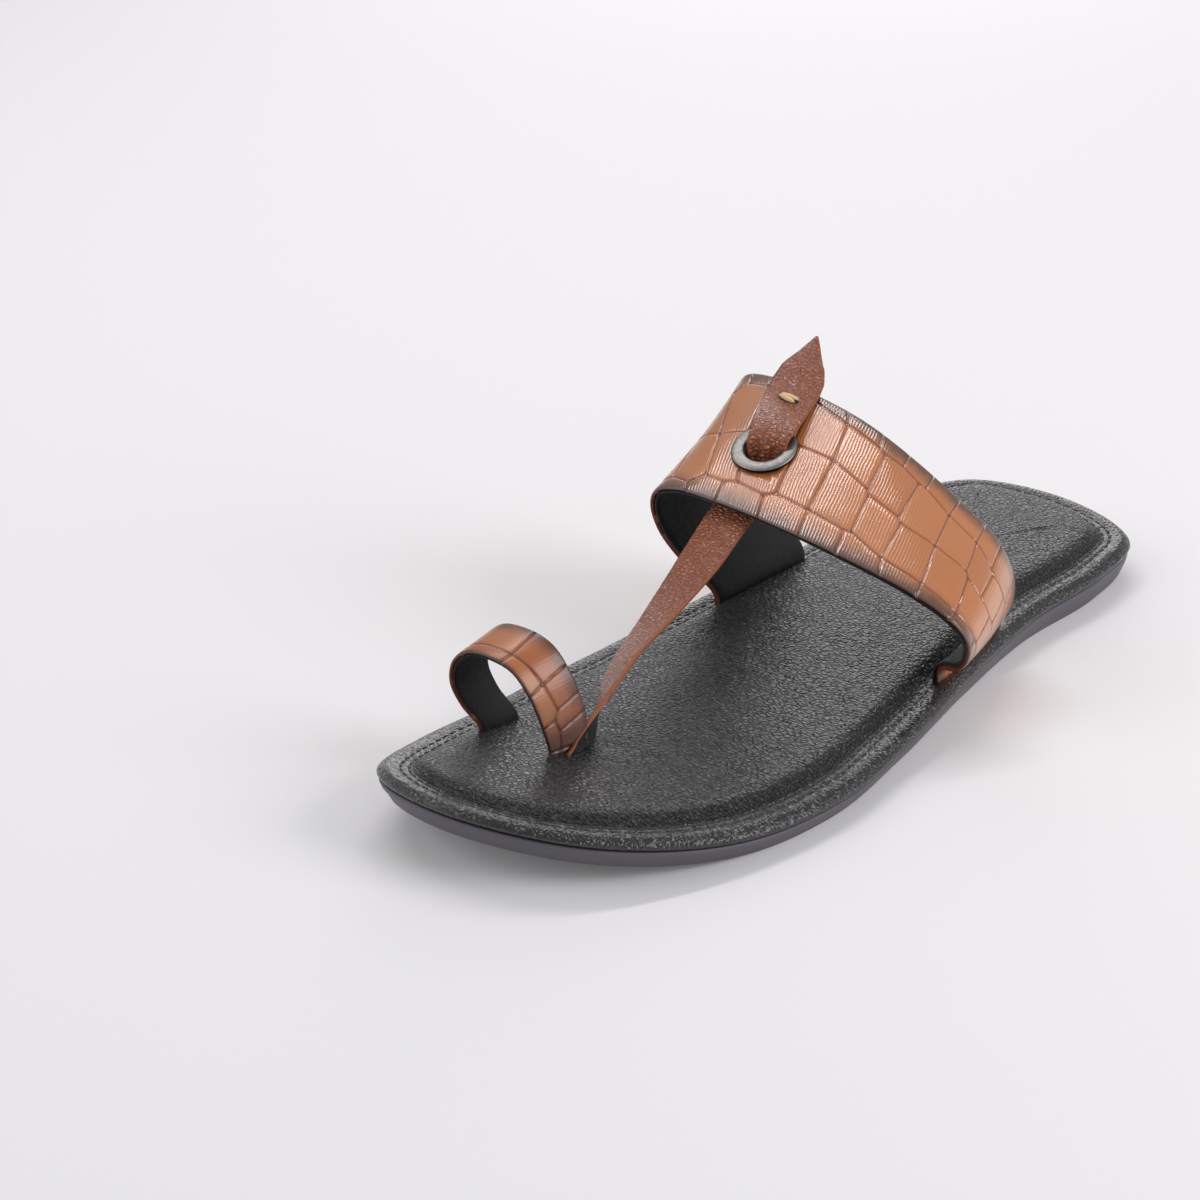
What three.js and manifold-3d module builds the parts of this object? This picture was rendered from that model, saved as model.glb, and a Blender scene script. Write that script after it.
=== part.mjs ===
// A left kolhapuri slip-on sandal: flat outsole with toe spring, leather-wrapped footbed, padded insole,
// and an upper of three straps: a broad instep band, a big-toe loop and a thong that is threaded
// through an eyelet in the band and ends in a loose pointed tip.
// Millimetres. +Z up, toe towards -Y, the big-toe (medial) side towards -X, floor at z = 0.

import * as THREE from "three";
import { mergeVertices } from "three/addons/utils/BufferGeometryUtils.js";
import Module from "manifold-3d";

const wasm = await Module();
wasm.setup();

// Driving sizes of the sole.
const SOLE_LENGTH = 280;
const BALL_WIDTH = 102;
const TOE_SPRING = 12;
const TOE_SPRING_START = 72; // from the toe tip back to where the outsole leaves the floor
const OUTSOLE_THICKNESS = 5;
const HEEL_THICKNESS = 8.4;
const HEEL_RISE_START = 97; // from the toe tip back to where the outsole begins to thicken
const OUTSOLE_UNDERCUT = 1.8;
const TREAD_EDGE_INSET = 3.2;
const TREAD_EDGE_HEIGHT = 1.6;

// Driving sizes of the footbed and the padded insole.
const RIM_THICKNESS = 3.4;
const RIM_OVERHANG = 0.5; // the rolled rim stands this far outside the top of the outsole
const MARGIN_WIDTH = 10.5; // stitched flat margin from the rim's outside to the pad
const PAD_THICKNESS = 2.8;
const PAD_CROWN = 0.9;
const HALF_CROWN_WIDTH = 50; // the crown is full where the pad is at least this wide
const PAD_EDGE_RADIUS = 3.2;
const LAYER_GAP = 0.3;

// Driving sizes of the straps.
const BAND_WALL = 2.2;
const BAND_CROWN = 1.2; // how far the band bulges between its front and rear edges
const BAND_FRONT_HALF_WIDTH = 51.5;
const BAND_FRONT_CENTRE_X = 5;
const BAND_FRONT_HEIGHT = 38;
const BAND_FRONT_FOOT_Y = 10;
const BAND_FRONT_LEAN = -17;
const BAND_REAR_HALF_WIDTH = 47.5;
const BAND_REAR_CENTRE_X = -0.5;
const BAND_REAR_HEIGHT = 57;
const BAND_REAR_FOOT_Y = 51;
const BAND_REAR_LEAN = -13;
const LOOP_WALL = 1.8;
const LOOP_HALF_WIDTH = 16.5;
const LOOP_CENTRE_X = -19.5;
const LOOP_HEIGHT = 25;
const LOOP_REAR_RISE = 4.6; // the loop's rear edge is higher and wider than its front edge
const LOOP_REAR_SPREAD = 1.4;
const LOOP_REAR_SHIFT = 1.2;
const LOOP_FRONT_Y = -95;
const LOOP_STRAP_WIDTH = 14;
const LOOP_LEAN = -5;
const STRAP_ROOT_DEPTH = 4.7; // the straps' roots go through the insole and into the footbed
const SLOT_CLEARANCE = 0.4;
const THONG_THICKNESS = 1.7;
const THONG_ROOT = { x: -3, y: -90 };
const THONG_ROOT_WIDTH = 7.5;
const TACK_DEPTH = 0.35; // the thong is stitched down, and fused here, this far into the band
const THONG_TIP_LENGTH = 16;
const THONG_SWING = 5; // the thong reaches the band's front edge this far to the big-toe side of the eyelet's line
const THONG_SHOULDER_WIDTH = 15;

// Driving sizes of the eyelet.
const EYELET_OUTER_RADIUS = 9.2;
const EYELET_HOLE_RADIUS = 5.6;
const EYELET_FLANGE_THICKNESS = 1.1;
const EYELET_BARREL_WALL = 0.8;
const EYELET_WASHER_RADIUS = 8.2;
const EYELET_WASHER_SHARE = 0.55; // of the flange's thickness
const EYELET_CLEARANCE = 0.32;
const BAND_BEND_RADIUS = 115; // of the band from side to side where the eyelet sits
const BAND_CROWN_RADIUS = 220; // and from front to rear
const EYELET_PLACE = { along: 0.44, around: 0.428 }; // shares of the band's width and of its arc

// Numbers of facets.
const OUTLINE_SAMPLES = 2400;
const CHAIN_STEPS = 38;
const BAND_STEPS = 46;
const BAND_WIDTH_STEPS = 5;
const LOOP_STEPS = 30;
const LOOP_WIDTH_STEPS = 2;
const THONG_STEPS = 52;
const THONG_WIDTH_STEPS = 3;
const EYELET_FACETS = 48;

// The outline of the sole seen from above. "along" is the share of the length from the heel to the toe,
// "across" the share of half the ball's width, positive to the little-toe side.
const OUTLINE = [
  { along: 0.0, across: 0.02 },
  { along: 0.047, across: 0.62 },
  { along: 0.136, across: 0.75 },
  { along: 0.27, across: 0.755 },
  { along: 0.41, across: 0.87 },
  { along: 0.565, across: 1.04 },
  { along: 0.7, across: 1.13 },
  { along: 0.84, across: 0.98 },
  { along: 0.955, across: 0.55 },
  { along: 1.0, across: -0.04 },
  { along: 0.972, across: -0.56 },
  { along: 0.875, across: -0.8 },
  { along: 0.73, across: -0.865 },
  { along: 0.583, across: -0.845 },
  { along: 0.44, across: -0.83 },
  { along: 0.275, across: -0.8 },
  { along: 0.115, across: -0.82 },
  { along: 0.02, across: -0.57 },
];

// Sections of the instep band from the big-toe side over the top to the little-toe side. "across" is the
// share of the half width, "up" the share of the height over the insole, "lean" the share of the lean.
const BAND_FRONT_EDGE = [
  { across: -0.76, up: 0.0, lean: 0.0 },
  { across: -0.91, up: 0.26, lean: 0.3 },
  { across: -0.985, up: 0.52, lean: 0.62 },
  { across: -0.985, up: 0.78, lean: 0.86 },
  { across: -0.92, up: 0.93, lean: 0.96 },
  { across: -0.77, up: 1.0, lean: 1.0 },
  { across: -0.52, up: 1.0, lean: 1.0 },
  { across: -0.22, up: 0.97, lean: 1.0 },
  { across: 0.28, up: 0.88, lean: 0.98 },
  { across: 0.72, up: 0.74, lean: 0.86 },
  { across: 0.93, up: 0.6, lean: 0.72 },
  { across: 1.0, up: 0.42, lean: 0.5 },
  { across: 0.95, up: 0.2, lean: 0.26 },
  { across: 0.84, up: 0.055, lean: 0.06 },
  { across: 0.73, up: 0.0, lean: 0.0 },
];
const BAND_REAR_EDGE = [
  { across: -0.71, up: 0.0, lean: 0.0 },
  { across: -0.92, up: 0.26, lean: 0.3 },
  { across: -1.04, up: 0.6, lean: 0.62 },
  { across: -1.03, up: 0.86, lean: 0.88 },
  { across: -0.94, up: 0.97, lean: 0.98 },
  { across: -0.74, up: 1.0, lean: 1.0 },
  { across: -0.4, up: 0.965, lean: 1.0 },
  { across: -0.05, up: 0.895, lean: 1.0 },
  { across: 0.32, up: 0.76, lean: 0.98 },
  { across: 0.63, up: 0.605, lean: 0.9 },
  { across: 0.83, up: 0.48, lean: 0.8 },
  { across: 0.92, up: 0.32, lean: 0.6 },
  { across: 0.9, up: 0.17, lean: 0.34 },
  { across: 0.83, up: 0.05, lean: 0.08 },
  { across: 0.76, up: 0.0, lean: 0.0 },
];

// Sections of the big-toe loop, from the outer side of the toe to its root beside the thong.
const LOOP_EDGE = [
  { across: -0.55, up: 0.0, lean: 0.0 },
  { across: -0.85, up: 0.2, lean: 0.2 },
  { across: -1.0, up: 0.46, lean: 0.5 },
  { across: -0.86, up: 0.76, lean: 0.8 },
  { across: -0.5, up: 0.96, lean: 1.0 },
  { across: 0.0, up: 1.0, lean: 1.0 },
  { across: 0.42, up: 0.92, lean: 0.9 },
  { across: 0.72, up: 0.68, lean: 0.7 },
  { across: 0.88, up: 0.38, lean: 0.4 },
  { across: 0.97, up: 0.0, lean: 0.0 },
];

// The thong between its root and the band. "run" is the share of the way, "width" is in millimetres,
// "twist" in degrees about the strap's own line, and "sag" the drop under the straight line.
const THONG_RISE = [
  { run: 0.08, width: 8.4, twist: -72, sag: -1.5 },
  { run: 0.3, width: 10.6, twist: -46, sag: -0.5 },
  { run: 0.55, width: 12.8, twist: -18, sag: 0.6 },
  { run: 0.8, width: 14.6, twist: 0, sag: 0 },
  { run: 1.0, width: 15.0, twist: 0, sag: 0 },
];

const degrees = THREE.MathUtils.degToRad;
const lerp = THREE.MathUtils.lerp;
const clamp = THREE.MathUtils.clamp;

// Heights of the layers, each as a function of the place along the shoe.
const toeY = -SOLE_LENGTH / 2;
const heelY = SOLE_LENGTH / 2;

function spring(y) {
  const past = clamp((toeY + TOE_SPRING_START - y) / TOE_SPRING_START, 0, 1);
  return TOE_SPRING * past * past;
}

function outsoleTop(y) {
  const share = clamp((y - toeY - HEEL_RISE_START) / (SOLE_LENGTH - HEEL_RISE_START), 0, 1);
  return spring(y) + lerp(OUTSOLE_THICKNESS, HEEL_THICKNESS, share);
}

function marginTop(y) {
  return outsoleTop(y) + LAYER_GAP + RIM_THICKNESS;
}

function padTop(y) {
  return marginTop(y) + LAYER_GAP + PAD_THICKNESS;
}

// The outline as two chains of points, little-toe side and big-toe side, both from heel to toe.
function outlineChains() {
  const points = OUTLINE.map(
    ({ along, across }) =>
      new THREE.Vector3((across * BALL_WIDTH) / 2, lerp(heelY, toeY, along), 0)
  );
  const curve = new THREE.CatmullRomCurve3(points, true, "centripetal");
  const samples = curve.getPoints(OUTLINE_SAMPLES).slice(0, OUTLINE_SAMPLES);
  const lowest = samples.reduce((best, p, i) => (p.y < samples[best].y ? i : best), 0);
  const highest = samples.reduce((best, p, i) => (p.y > samples[best].y ? i : best), 0);
  const walk = (from, to) => {
    const chain = [];
    for (let i = from; i !== to; i = (i + 1) % OUTLINE_SAMPLES) chain.push(samples[i]);
    return [...chain, samples[to]];
  };
  const lateral = walk(highest, lowest);
  const medial = walk(lowest, highest).reverse();
  const scaleY = SOLE_LENGTH / (samples[highest].y - samples[lowest].y);
  const middle = (samples[highest].y + samples[lowest].y) / 2;
  return [lateral, medial].map((chain) =>
    evenly(
      chain.map((p) => new THREE.Vector3(p.x, (p.y - middle) * scaleY, 0)),
      CHAIN_STEPS
    )
  );
}

// Points at equal distances along a chain.
function evenly(chain, steps) {
  const lengths = [0];
  for (let i = 1; i < chain.length; i++)
    lengths.push(lengths[i - 1] + chain[i].distanceTo(chain[i - 1]));
  const total = lengths[lengths.length - 1];
  const made = [];
  let at = 0;
  for (let k = 0; k <= steps; k++) {
    const wanted = (total * k) / steps;
    while (at < chain.length - 2 && lengths[at + 1] < wanted) at++;
    const share = (wanted - lengths[at]) / (lengths[at + 1] - lengths[at]);
    made.push(chain[at].clone().lerp(chain[at + 1], clamp(share, 0, 1)));
  }
  return made;
}

const [lateralChain, medialChain] = outlineChains();

// The outline moved inwards and lifted: one loop, out along one side and back along the other.
function ring(inset, height) {
  const loop = [...lateralChain, ...[...medialChain].reverse().slice(1, -1)];
  const count = loop.length;
  const moved = loop.map((p, i) => {
    const before = loop[(i + count - 1) % count];
    const after = loop[(i + 1) % count];
    const outward = new THREE.Vector3(-(after.y - before.y), after.x - before.x, 0).normalize();
    const inner = p.clone().addScaledVector(outward, -inset);
    return inner.setZ(height(inner.x, inner.y));
  });
  const toe = CHAIN_STEPS;
  return [...moved.slice(0, toe + 1), ...moved.slice(toe), moved[0]];
}

// Closed solids are skinned over loops of points. A loop goes out along one side and back along the
// other, so its first half pairs with its second half, and that is how the two ends are closed.
class Skin {
  constructor() {
    this.positions = [];
  }

  quad(a, b, c, d) {
    for (const p of [a, b, c, a, c, d]) this.positions.push(p.x, p.y, p.z);
  }

  sides(loops) {
    for (let k = 0; k + 1 < loops.length; k++) {
      const [low, high] = [loops[k], loops[k + 1]];
      for (let i = 0; i < low.length; i++) {
        const j = (i + 1) % low.length;
        this.quad(low[i], low[j], high[j], high[i]);
      }
    }
    return this;
  }

  // Closes a loop across its pairs, with columns of points between them that a surface may raise.
  cap(loop, upwards, columns = 1, surface = null) {
    const half = loop.length / 2;
    const rows = [];
    for (let j = 0; j < half; j++) {
      const [from, to] = [loop[j], loop[loop.length - 1 - j]];
      const row = [];
      for (let k = 0; k <= columns; k++) {
        const p = from.clone().lerp(to, k / columns);
        if (surface && from.distanceTo(to) > 0) p.z += surface(from.distanceTo(to), k / columns);
        row.push(p);
      }
      rows.push(row);
    }
    for (let j = 0; j + 1 < half; j++)
      for (let k = 0; k < columns; k++) {
        const [a, b, c, d] = [rows[j][k], rows[j + 1][k], rows[j + 1][k + 1], rows[j][k + 1]];
        if (upwards) this.quad(a, b, c, d);
        else this.quad(a, d, c, b);
      }
    return this;
  }

  geometry() {
    const loose = new THREE.BufferGeometry();
    loose.setAttribute("position", new THREE.Float32BufferAttribute(this.positions, 3));
    const merged = mergeVertices(loose, 1e-3);
    const kept = [];
    for (let i = 0; i < merged.index.count; i += 3) {
      const [a, b, c] = [0, 1, 2].map((n) => merged.index.getX(i + n));
      if (a !== b && b !== c && c !== a) kept.push(a, b, c);
    }
    return merged.setIndex(kept);
  }
}

// Conversions between a geometry and a solid that can be joined or cut.
function solid(geometry) {
  const bare = new THREE.BufferGeometry();
  bare.setAttribute("position", geometry.getAttribute("position"));
  bare.setIndex(geometry.index);
  const merged = mergeVertices(bare, 1e-3);
  const made = new wasm.Manifold(
    new wasm.Mesh({
      numProp: 3,
      vertProperties: merged.getAttribute("position").array,
      triVerts: new Uint32Array(merged.index.array),
    })
  );
  if (made.volume() > 0) return made;
  const turned = new Uint32Array(merged.index.array);
  for (let i = 0; i < turned.length; i += 3)
    [turned[i + 1], turned[i + 2]] = [turned[i + 2], turned[i + 1]];
  return new wasm.Manifold(
    new wasm.Mesh({
      numProp: 3,
      vertProperties: merged.getAttribute("position").array,
      triVerts: turned,
    })
  );
}

function geometryOf(manifold) {
  const mesh = manifold.getMesh();
  const geometry = new THREE.BufferGeometry();
  geometry.setAttribute("position", new THREE.BufferAttribute(mesh.vertProperties, 3));
  geometry.setIndex(new THREE.BufferAttribute(mesh.triVerts, 1));
  geometry.computeVertexNormals();
  return geometry;
}

// A strap is a wall between an outer face and an inner face, both given as rows of points.
function strapSolid(outerRows, innerRows) {
  const loops = outerRows.map((outer, i) => [...outer, ...[...innerRows[i]].reverse()]);
  const skin = new Skin().sides(loops);
  skin.cap(loops[0], false).cap(loops[loops.length - 1], true);
  return solid(skin.geometry());
}

// The outsole: undercut wall, chamfered tread edge, flat underside and toe spring.
function outsoleSolid() {
  const bottom = (x, y) => spring(y);
  const loops = [
    ring(TREAD_EDGE_INSET, bottom),
    ring(RIM_OVERHANG + OUTSOLE_UNDERCUT, (x, y) => bottom(x, y) + TREAD_EDGE_HEIGHT),
    ring(RIM_OVERHANG, (x, y) => outsoleTop(y) - RIM_OVERHANG),
    ring(RIM_OVERHANG * 2, (x, y) => outsoleTop(y)),
  ];
  const skin = new Skin().sides(loops);
  skin.cap(loops[0], false).cap(loops[loops.length - 1], true);
  return solid(skin.geometry());
}

// The footbed: a board wrapped in leather, so that its rim is a rolled edge around a flat margin.
function footbedSolid() {
  const base = (x, y) => outsoleTop(y) + LAYER_GAP;
  const at = (share) => (x, y) => base(x, y) + RIM_THICKNESS * share;
  const loops = [
    ring(RIM_OVERHANG * 2.4, base),
    ring(RIM_OVERHANG * 0.5, at(0.14)),
    ring(0, at(0.42)),
    ring(RIM_THICKNESS * 0.1, at(0.72)),
    ring(RIM_THICKNESS * 0.42, at(0.94)),
    ring(RIM_THICKNESS * 0.85, at(1)),
    ring(RIM_THICKNESS * 1.3, at(0.94)),
    ring(MARGIN_WIDTH + PAD_EDGE_RADIUS, at(0.94)),
  ];
  const skin = new Skin().sides(loops);
  skin.cap(loops[0], false).cap(loops[loops.length - 1], true);
  return solid(skin.geometry());
}

// The padded insole: rounded at its edge and slightly crowned from side to side.
function insoleSolid() {
  const base = (x, y) => marginTop(y) - RIM_THICKNESS * 0.06 + LAYER_GAP;
  const at = (share) => (x, y) => lerp(base(x, y), padTop(y), share);
  const loops = [
    ring(MARGIN_WIDTH, base),
    ring(MARGIN_WIDTH, at(0.3)),
    ring(MARGIN_WIDTH + PAD_EDGE_RADIUS * 0.3, at(0.72)),
    ring(MARGIN_WIDTH + PAD_EDGE_RADIUS, at(1)),
  ];
  const crowned = (width, share) =>
    PAD_CROWN * Math.min(1, width / HALF_CROWN_WIDTH) * Math.sin(Math.PI * share) ** 2;
  const skin = new Skin().sides(loops);
  skin.cap(loops[0], false).cap(loops[loops.length - 1], true, 6, crowned);
  return solid(skin.geometry());
}

// An edge of the band or loop: its sections from root to root, with each root drawn down into its slot.
function strapEdge(rows, { centre, half, height, footY, lean, depth }, steps) {
  const points = rows.map(({ across, up, lean: share }) => {
    const z = padTop(footY) + up * height;
    return new THREE.Vector3(centre + across * half, footY + share * lean, z);
  });
  const lowered = (p) => p.clone().setZ(p.z - depth);
  const all = [lowered(points[0]), ...points, lowered(points[points.length - 1])];
  const curve = new THREE.CatmullRomCurve3(all, false, "centripetal");
  return evenly(curve.getPoints(steps * 12), steps);
}

// The surface of a strap between its front and rear edges, with its outward normals.
function ruled(front, rear, widthSteps, crown) {
  const rows = front.map((p, i) =>
    Array.from({ length: widthSteps + 1 }, (_, k) => p.clone().lerp(rear[i], k / widthSteps))
  );
  const normals = rows.map((row, i) =>
    row.map((_, k) => {
      const before = rows[Math.max(i - 1, 0)][k];
      const after = rows[Math.min(i + 1, rows.length - 1)][k];
      const around = after.clone().sub(before);
      const along = row[row.length - 1].clone().sub(row[0]);
      return along.cross(around).normalize().negate();
    })
  );
  for (const [i, row] of rows.entries())
    for (const [k, p] of row.entries())
      p.addScaledVector(normals[i][k], crown * Math.sin((Math.PI * k) / widthSteps));
  return { rows, normals };
}

function offsetRows({ rows, normals }, distance) {
  return rows.map((row, i) => row.map((p, k) => p.clone().addScaledVector(normals[i][k], distance)));
}

// The surface of a strap from its table and sizes, grown on every side by a clearance.
function strapSurface(table, { front, rear, steps, widthSteps, crown }, grow) {
  const edges = [front, rear].map((sizes) =>
    strapEdge(table[sizes.edge], { ...sizes, depth: STRAP_ROOT_DEPTH + grow }, steps)
  );
  const surface = ruled(...edges, widthSteps, crown);
  const last = widthSteps;
  for (const row of surface.rows) {
    const along = row[last].clone().sub(row[0]).normalize();
    row[0].addScaledVector(along, -grow);
    row[last].addScaledVector(along, grow);
  }
  return surface;
}

function strapFrom(surface, wall, grow) {
  return strapSolid(offsetRows(surface, grow), offsetRows(surface, -wall - grow));
}

const bandTables = { front: BAND_FRONT_EDGE, rear: BAND_REAR_EDGE };
const bandSizes = {
  steps: BAND_STEPS,
  widthSteps: BAND_WIDTH_STEPS,
  crown: BAND_CROWN,
  front: {
    edge: "front",
    centre: BAND_FRONT_CENTRE_X,
    half: BAND_FRONT_HALF_WIDTH,
    height: BAND_FRONT_HEIGHT,
    footY: BAND_FRONT_FOOT_Y,
    lean: BAND_FRONT_LEAN,
  },
  rear: {
    edge: "rear",
    centre: BAND_REAR_CENTRE_X,
    half: BAND_REAR_HALF_WIDTH,
    height: BAND_REAR_HEIGHT,
    footY: BAND_REAR_FOOT_Y,
    lean: BAND_REAR_LEAN,
  },
};
const bandSurface = strapSurface(bandTables, bandSizes, 0);

// A place on the band's outside: the point, its normal, and the direction towards the heel.
function onBand(along, around) {
  const place = clamp(around, 0, 1) * (bandSurface.rows.length - 1);
  const i = Math.min(Math.floor(place), bandSurface.rows.length - 2);
  const ends = [i, i + 1].map((n) => bandSurface.rows[n]);
  const mix = (k) => ends[0][k].clone().lerp(ends[1][k], place - i);
  const [front, rear] = [mix(0), mix(BAND_WIDTH_STEPS)];
  const normal = bandSurface.normals[i][0].clone();
  normal.lerp(bandSurface.normals[i + 1][BAND_WIDTH_STEPS], 0.5).normalize();
  const heelward = rear.clone().sub(front);
  const point = front.clone().addScaledVector(heelward, along);
  point.addScaledVector(normal, BAND_CROWN * Math.sin(Math.PI * along));
  return { point, normal, heelward: heelward.normalize() };
}

const eyeletSeat = onBand(EYELET_PLACE.along, EYELET_PLACE.around);
const bandWidthAtEyelet = onBand(1, EYELET_PLACE.around).point.distanceTo(
  onBand(0, EYELET_PLACE.around).point
);

// Turns a geometry made along +Y so that it stands on the band at the eyelet, and lets it follow the
// band's bend from side to side.
function seatOnBand(geometry, bent) {
  const { point, normal, heelward } = eyeletSeat;
  const sideways = heelward.clone().cross(normal).normalize();
  geometry.applyQuaternion(
    new THREE.Quaternion().setFromUnitVectors(new THREE.Vector3(0, 1, 0), normal)
  );
  const places = geometry.getAttribute("position");
  for (let i = 0; i < places.count && bent; i++) {
    const place = new THREE.Vector3().fromBufferAttribute(places, i);
    const [side, forward] = [place.dot(sideways), place.dot(heelward)];
    const drop = side ** 2 / BAND_BEND_RADIUS + forward ** 2 / BAND_CROWN_RADIUS;
    place.addScaledVector(normal, -drop / 2);
    places.setXYZ(i, place.x, place.y, place.z);
  }
  return geometry.translate(point.x, point.y, point.z);
}

function revolved(profile) {
  const points = profile.map(([radius, height]) => new THREE.Vector2(radius, height));
  const geometry = new THREE.LatheGeometry([...points, points[0]], EYELET_FACETS);
  geometry.deleteAttribute("normal");
  geometry.deleteAttribute("uv");
  return geometry;
}

// The eyelet: a domed flange outside, a barrel through the wall and a rolled washer inside.
function eyeletSolid() {
  const outer = EYELET_OUTER_RADIUS;
  const hole = EYELET_HOLE_RADIUS;
  const barrel = hole + EYELET_BARREL_WALL;
  const flange = EYELET_FLANGE_THICKNESS;
  const inside = -BAND_WALL - EYELET_CLEARANCE;
  const profile = [
    [hole, inside - flange * EYELET_WASHER_SHARE],
    [EYELET_WASHER_RADIUS, inside - flange * EYELET_WASHER_SHARE],
    [EYELET_WASHER_RADIUS, inside],
    [barrel, inside],
    [barrel, EYELET_CLEARANCE],
    [outer, EYELET_CLEARANCE],
    [outer, EYELET_CLEARANCE + flange * 0.45],
    [outer - flange * 0.6, EYELET_CLEARANCE + flange],
    [hole + flange * 0.8, EYELET_CLEARANCE + flange],
    [hole, EYELET_CLEARANCE + flange * 0.4],
  ];
  return solid(seatOnBand(revolved(profile), true));
}

// The hole in the band for the eyelet's barrel.
function eyeletBore() {
  const radius = EYELET_HOLE_RADIUS + EYELET_BARREL_WALL + EYELET_CLEARANCE;
  const drill = new THREE.CylinderGeometry(radius, radius, BAND_WALL * 6, EYELET_FACETS);
  drill.deleteAttribute("normal");
  drill.deleteAttribute("uv");
  return solid(seatOnBand(drill, false));
}

function bandSolid(grow = 0) {
  return strapFrom(strapSurface(bandTables, bandSizes, grow), BAND_WALL, grow);
}

function loopSolid(grow = 0) {
  const shared = {
    edge: "both",
    centre: LOOP_CENTRE_X,
    half: LOOP_HALF_WIDTH,
    lean: LOOP_LEAN,
  };
  const sizes = {
    steps: LOOP_STEPS,
    widthSteps: LOOP_WIDTH_STEPS,
    crown: 0,
    front: { ...shared, height: LOOP_HEIGHT, footY: LOOP_FRONT_Y },
    rear: {
      ...shared,
      centre: LOOP_CENTRE_X + LOOP_REAR_SHIFT,
      half: LOOP_HALF_WIDTH + LOOP_REAR_SPREAD,
      height: LOOP_HEIGHT + LOOP_REAR_RISE,
      footY: LOOP_FRONT_Y + LOOP_STRAP_WIDTH,
    },
  };
  return strapFrom(strapSurface({ both: LOOP_EDGE }, sizes, grow), LOOP_WALL, grow);
}

// The thong's line as frames of a point, a width direction, a normal and a width.
function thongFrames(grow) {
  const { point, normal, heelward } = eyeletSeat;
  const sideways = heelward.clone().cross(normal).normalize();
  const crownAt = (along) => BAND_CROWN * Math.sin(Math.PI * clamp(along, 0, 1));
  const near = (forward, lift, side = 0) => {
    const along = EYELET_PLACE.along + forward / bandWidthAtEyelet;
    return point
      .clone()
      .addScaledVector(heelward, forward)
      .addScaledVector(normal, lift + crownAt(along) - crownAt(EYELET_PLACE.along))
      .addScaledVector(sideways, side);
  };
  const washer = EYELET_FLANGE_THICKNESS * EYELET_WASHER_SHARE;
  const under = -BAND_WALL - EYELET_CLEARANCE * 3 - washer - THONG_THICKNESS * 0.5;
  const over = EYELET_CLEARANCE * 2 + EYELET_FLANGE_THICKNESS + THONG_THICKNESS * 0.5;
  const frontEdge = near(-bandWidthAtEyelet * EYELET_PLACE.along, under - 0.6, -THONG_SWING);
  const root = new THREE.Vector3(THONG_ROOT.x, THONG_ROOT.y, padTop(THONG_ROOT.y));

  const direction = frontEdge.clone().sub(root).normalize();
  const flat = new THREE.Vector3(1, 0, 0).addScaledVector(direction, -direction.x).normalize();
  const rise = THONG_RISE.map(({ run, width, twist, sag }) => ({
    place: root.clone().lerp(frontEdge, run).setZ(lerp(root.z, frontEdge.z, run) - sag),
    across: flat.clone().applyAxisAngle(direction, degrees(twist)),
    width,
  }));
  const upright = (lift) => ({
    place: root.clone().setZ(root.z + lift),
    across: new THREE.Vector3(0, -1, 0),
    width: THONG_ROOT_WIDTH,
  });

  const hole = EYELET_HOLE_RADIUS;
  const edge = bandWidthAtEyelet * (1 - EYELET_PLACE.along);
  const passage = [
    { forward: -hole * 1.7, lift: under - 0.5, width: 13, side: -THONG_SWING * 0.3 },
    { forward: -hole * 0.45, lift: under + 0.3, width: 9.2 },
    { forward: -hole * 0.04, lift: -BAND_WALL * 0.5, width: 8.9 },
    { forward: hole * 0.36, lift: over - 0.3, width: 9.2 },
    { forward: EYELET_OUTER_RADIUS * 0.8, lift: over + 0.5, width: 12.4 },
    { forward: EYELET_OUTER_RADIUS * 1.25, lift: over, width: 14 },
    { forward: edge * 0.8, lift: THONG_THICKNESS * 0.5 - TACK_DEPTH, width: THONG_SHOULDER_WIDTH },
    { forward: edge, lift: THONG_THICKNESS * 0.6, width: THONG_SHOULDER_WIDTH },
    { forward: edge + THONG_TIP_LENGTH * 0.3, lift: 1.7, width: THONG_SHOULDER_WIDTH * 0.86, side: 1 },
    { forward: edge + THONG_TIP_LENGTH * 0.62, lift: 2.5, width: THONG_SHOULDER_WIDTH * 0.47, side: 1.4 },
    { forward: edge + THONG_TIP_LENGTH, lift: 3.4, width: 1, side: 1.8 },
  ].map(({ forward, lift, width, side }) => ({
    place: near(forward, lift, side),
    across: sideways.clone(),
    width,
  }));
  return smoothed([upright(-STRAP_ROOT_DEPTH - grow), upright(0.5), ...rise, ...passage]);
}

// Frames at equal steps along a smooth curve through the given ones.
function smoothed(frames) {
  const curve = new THREE.CatmullRomCurve3(
    frames.map((f) => f.place),
    false,
    "centripetal"
  );
  const last = frames.length - 1;
  const stations = Array.from({ length: THONG_STEPS + 1 }, (_, n) => n / THONG_STEPS);
  const dense = evenly(curve.getPoints(THONG_STEPS * 20), THONG_STEPS);
  const shares = sharesOf(frames, curve);
  return stations.map((station, n) => {
    let k = 0;
    while (k < last - 1 && shares[k + 1] < station) k++;
    const mix = clamp((station - shares[k]) / (shares[k + 1] - shares[k]), 0, 1);
    const before = dense[Math.max(n - 1, 0)];
    const after = dense[Math.min(n + 1, THONG_STEPS)];
    const tangent = after.clone().sub(before).normalize();
    const across = frames[k].across.clone().lerp(frames[k + 1].across, mix);
    across.addScaledVector(tangent, -across.dot(tangent)).normalize();
    return {
      place: dense[n],
      across,
      normal: tangent.clone().cross(across).negate().normalize(),
      width: lerp(frames[k].width, frames[k + 1].width, mix),
    };
  });
}

// The share of the curve's length at which each frame lies.
function sharesOf(frames, curve) {
  const fine = 60;
  const lengths = curve.getLengths((frames.length - 1) * fine);
  const total = lengths[lengths.length - 1];
  return frames.map((_, i) => lengths[i * fine] / total);
}

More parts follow.
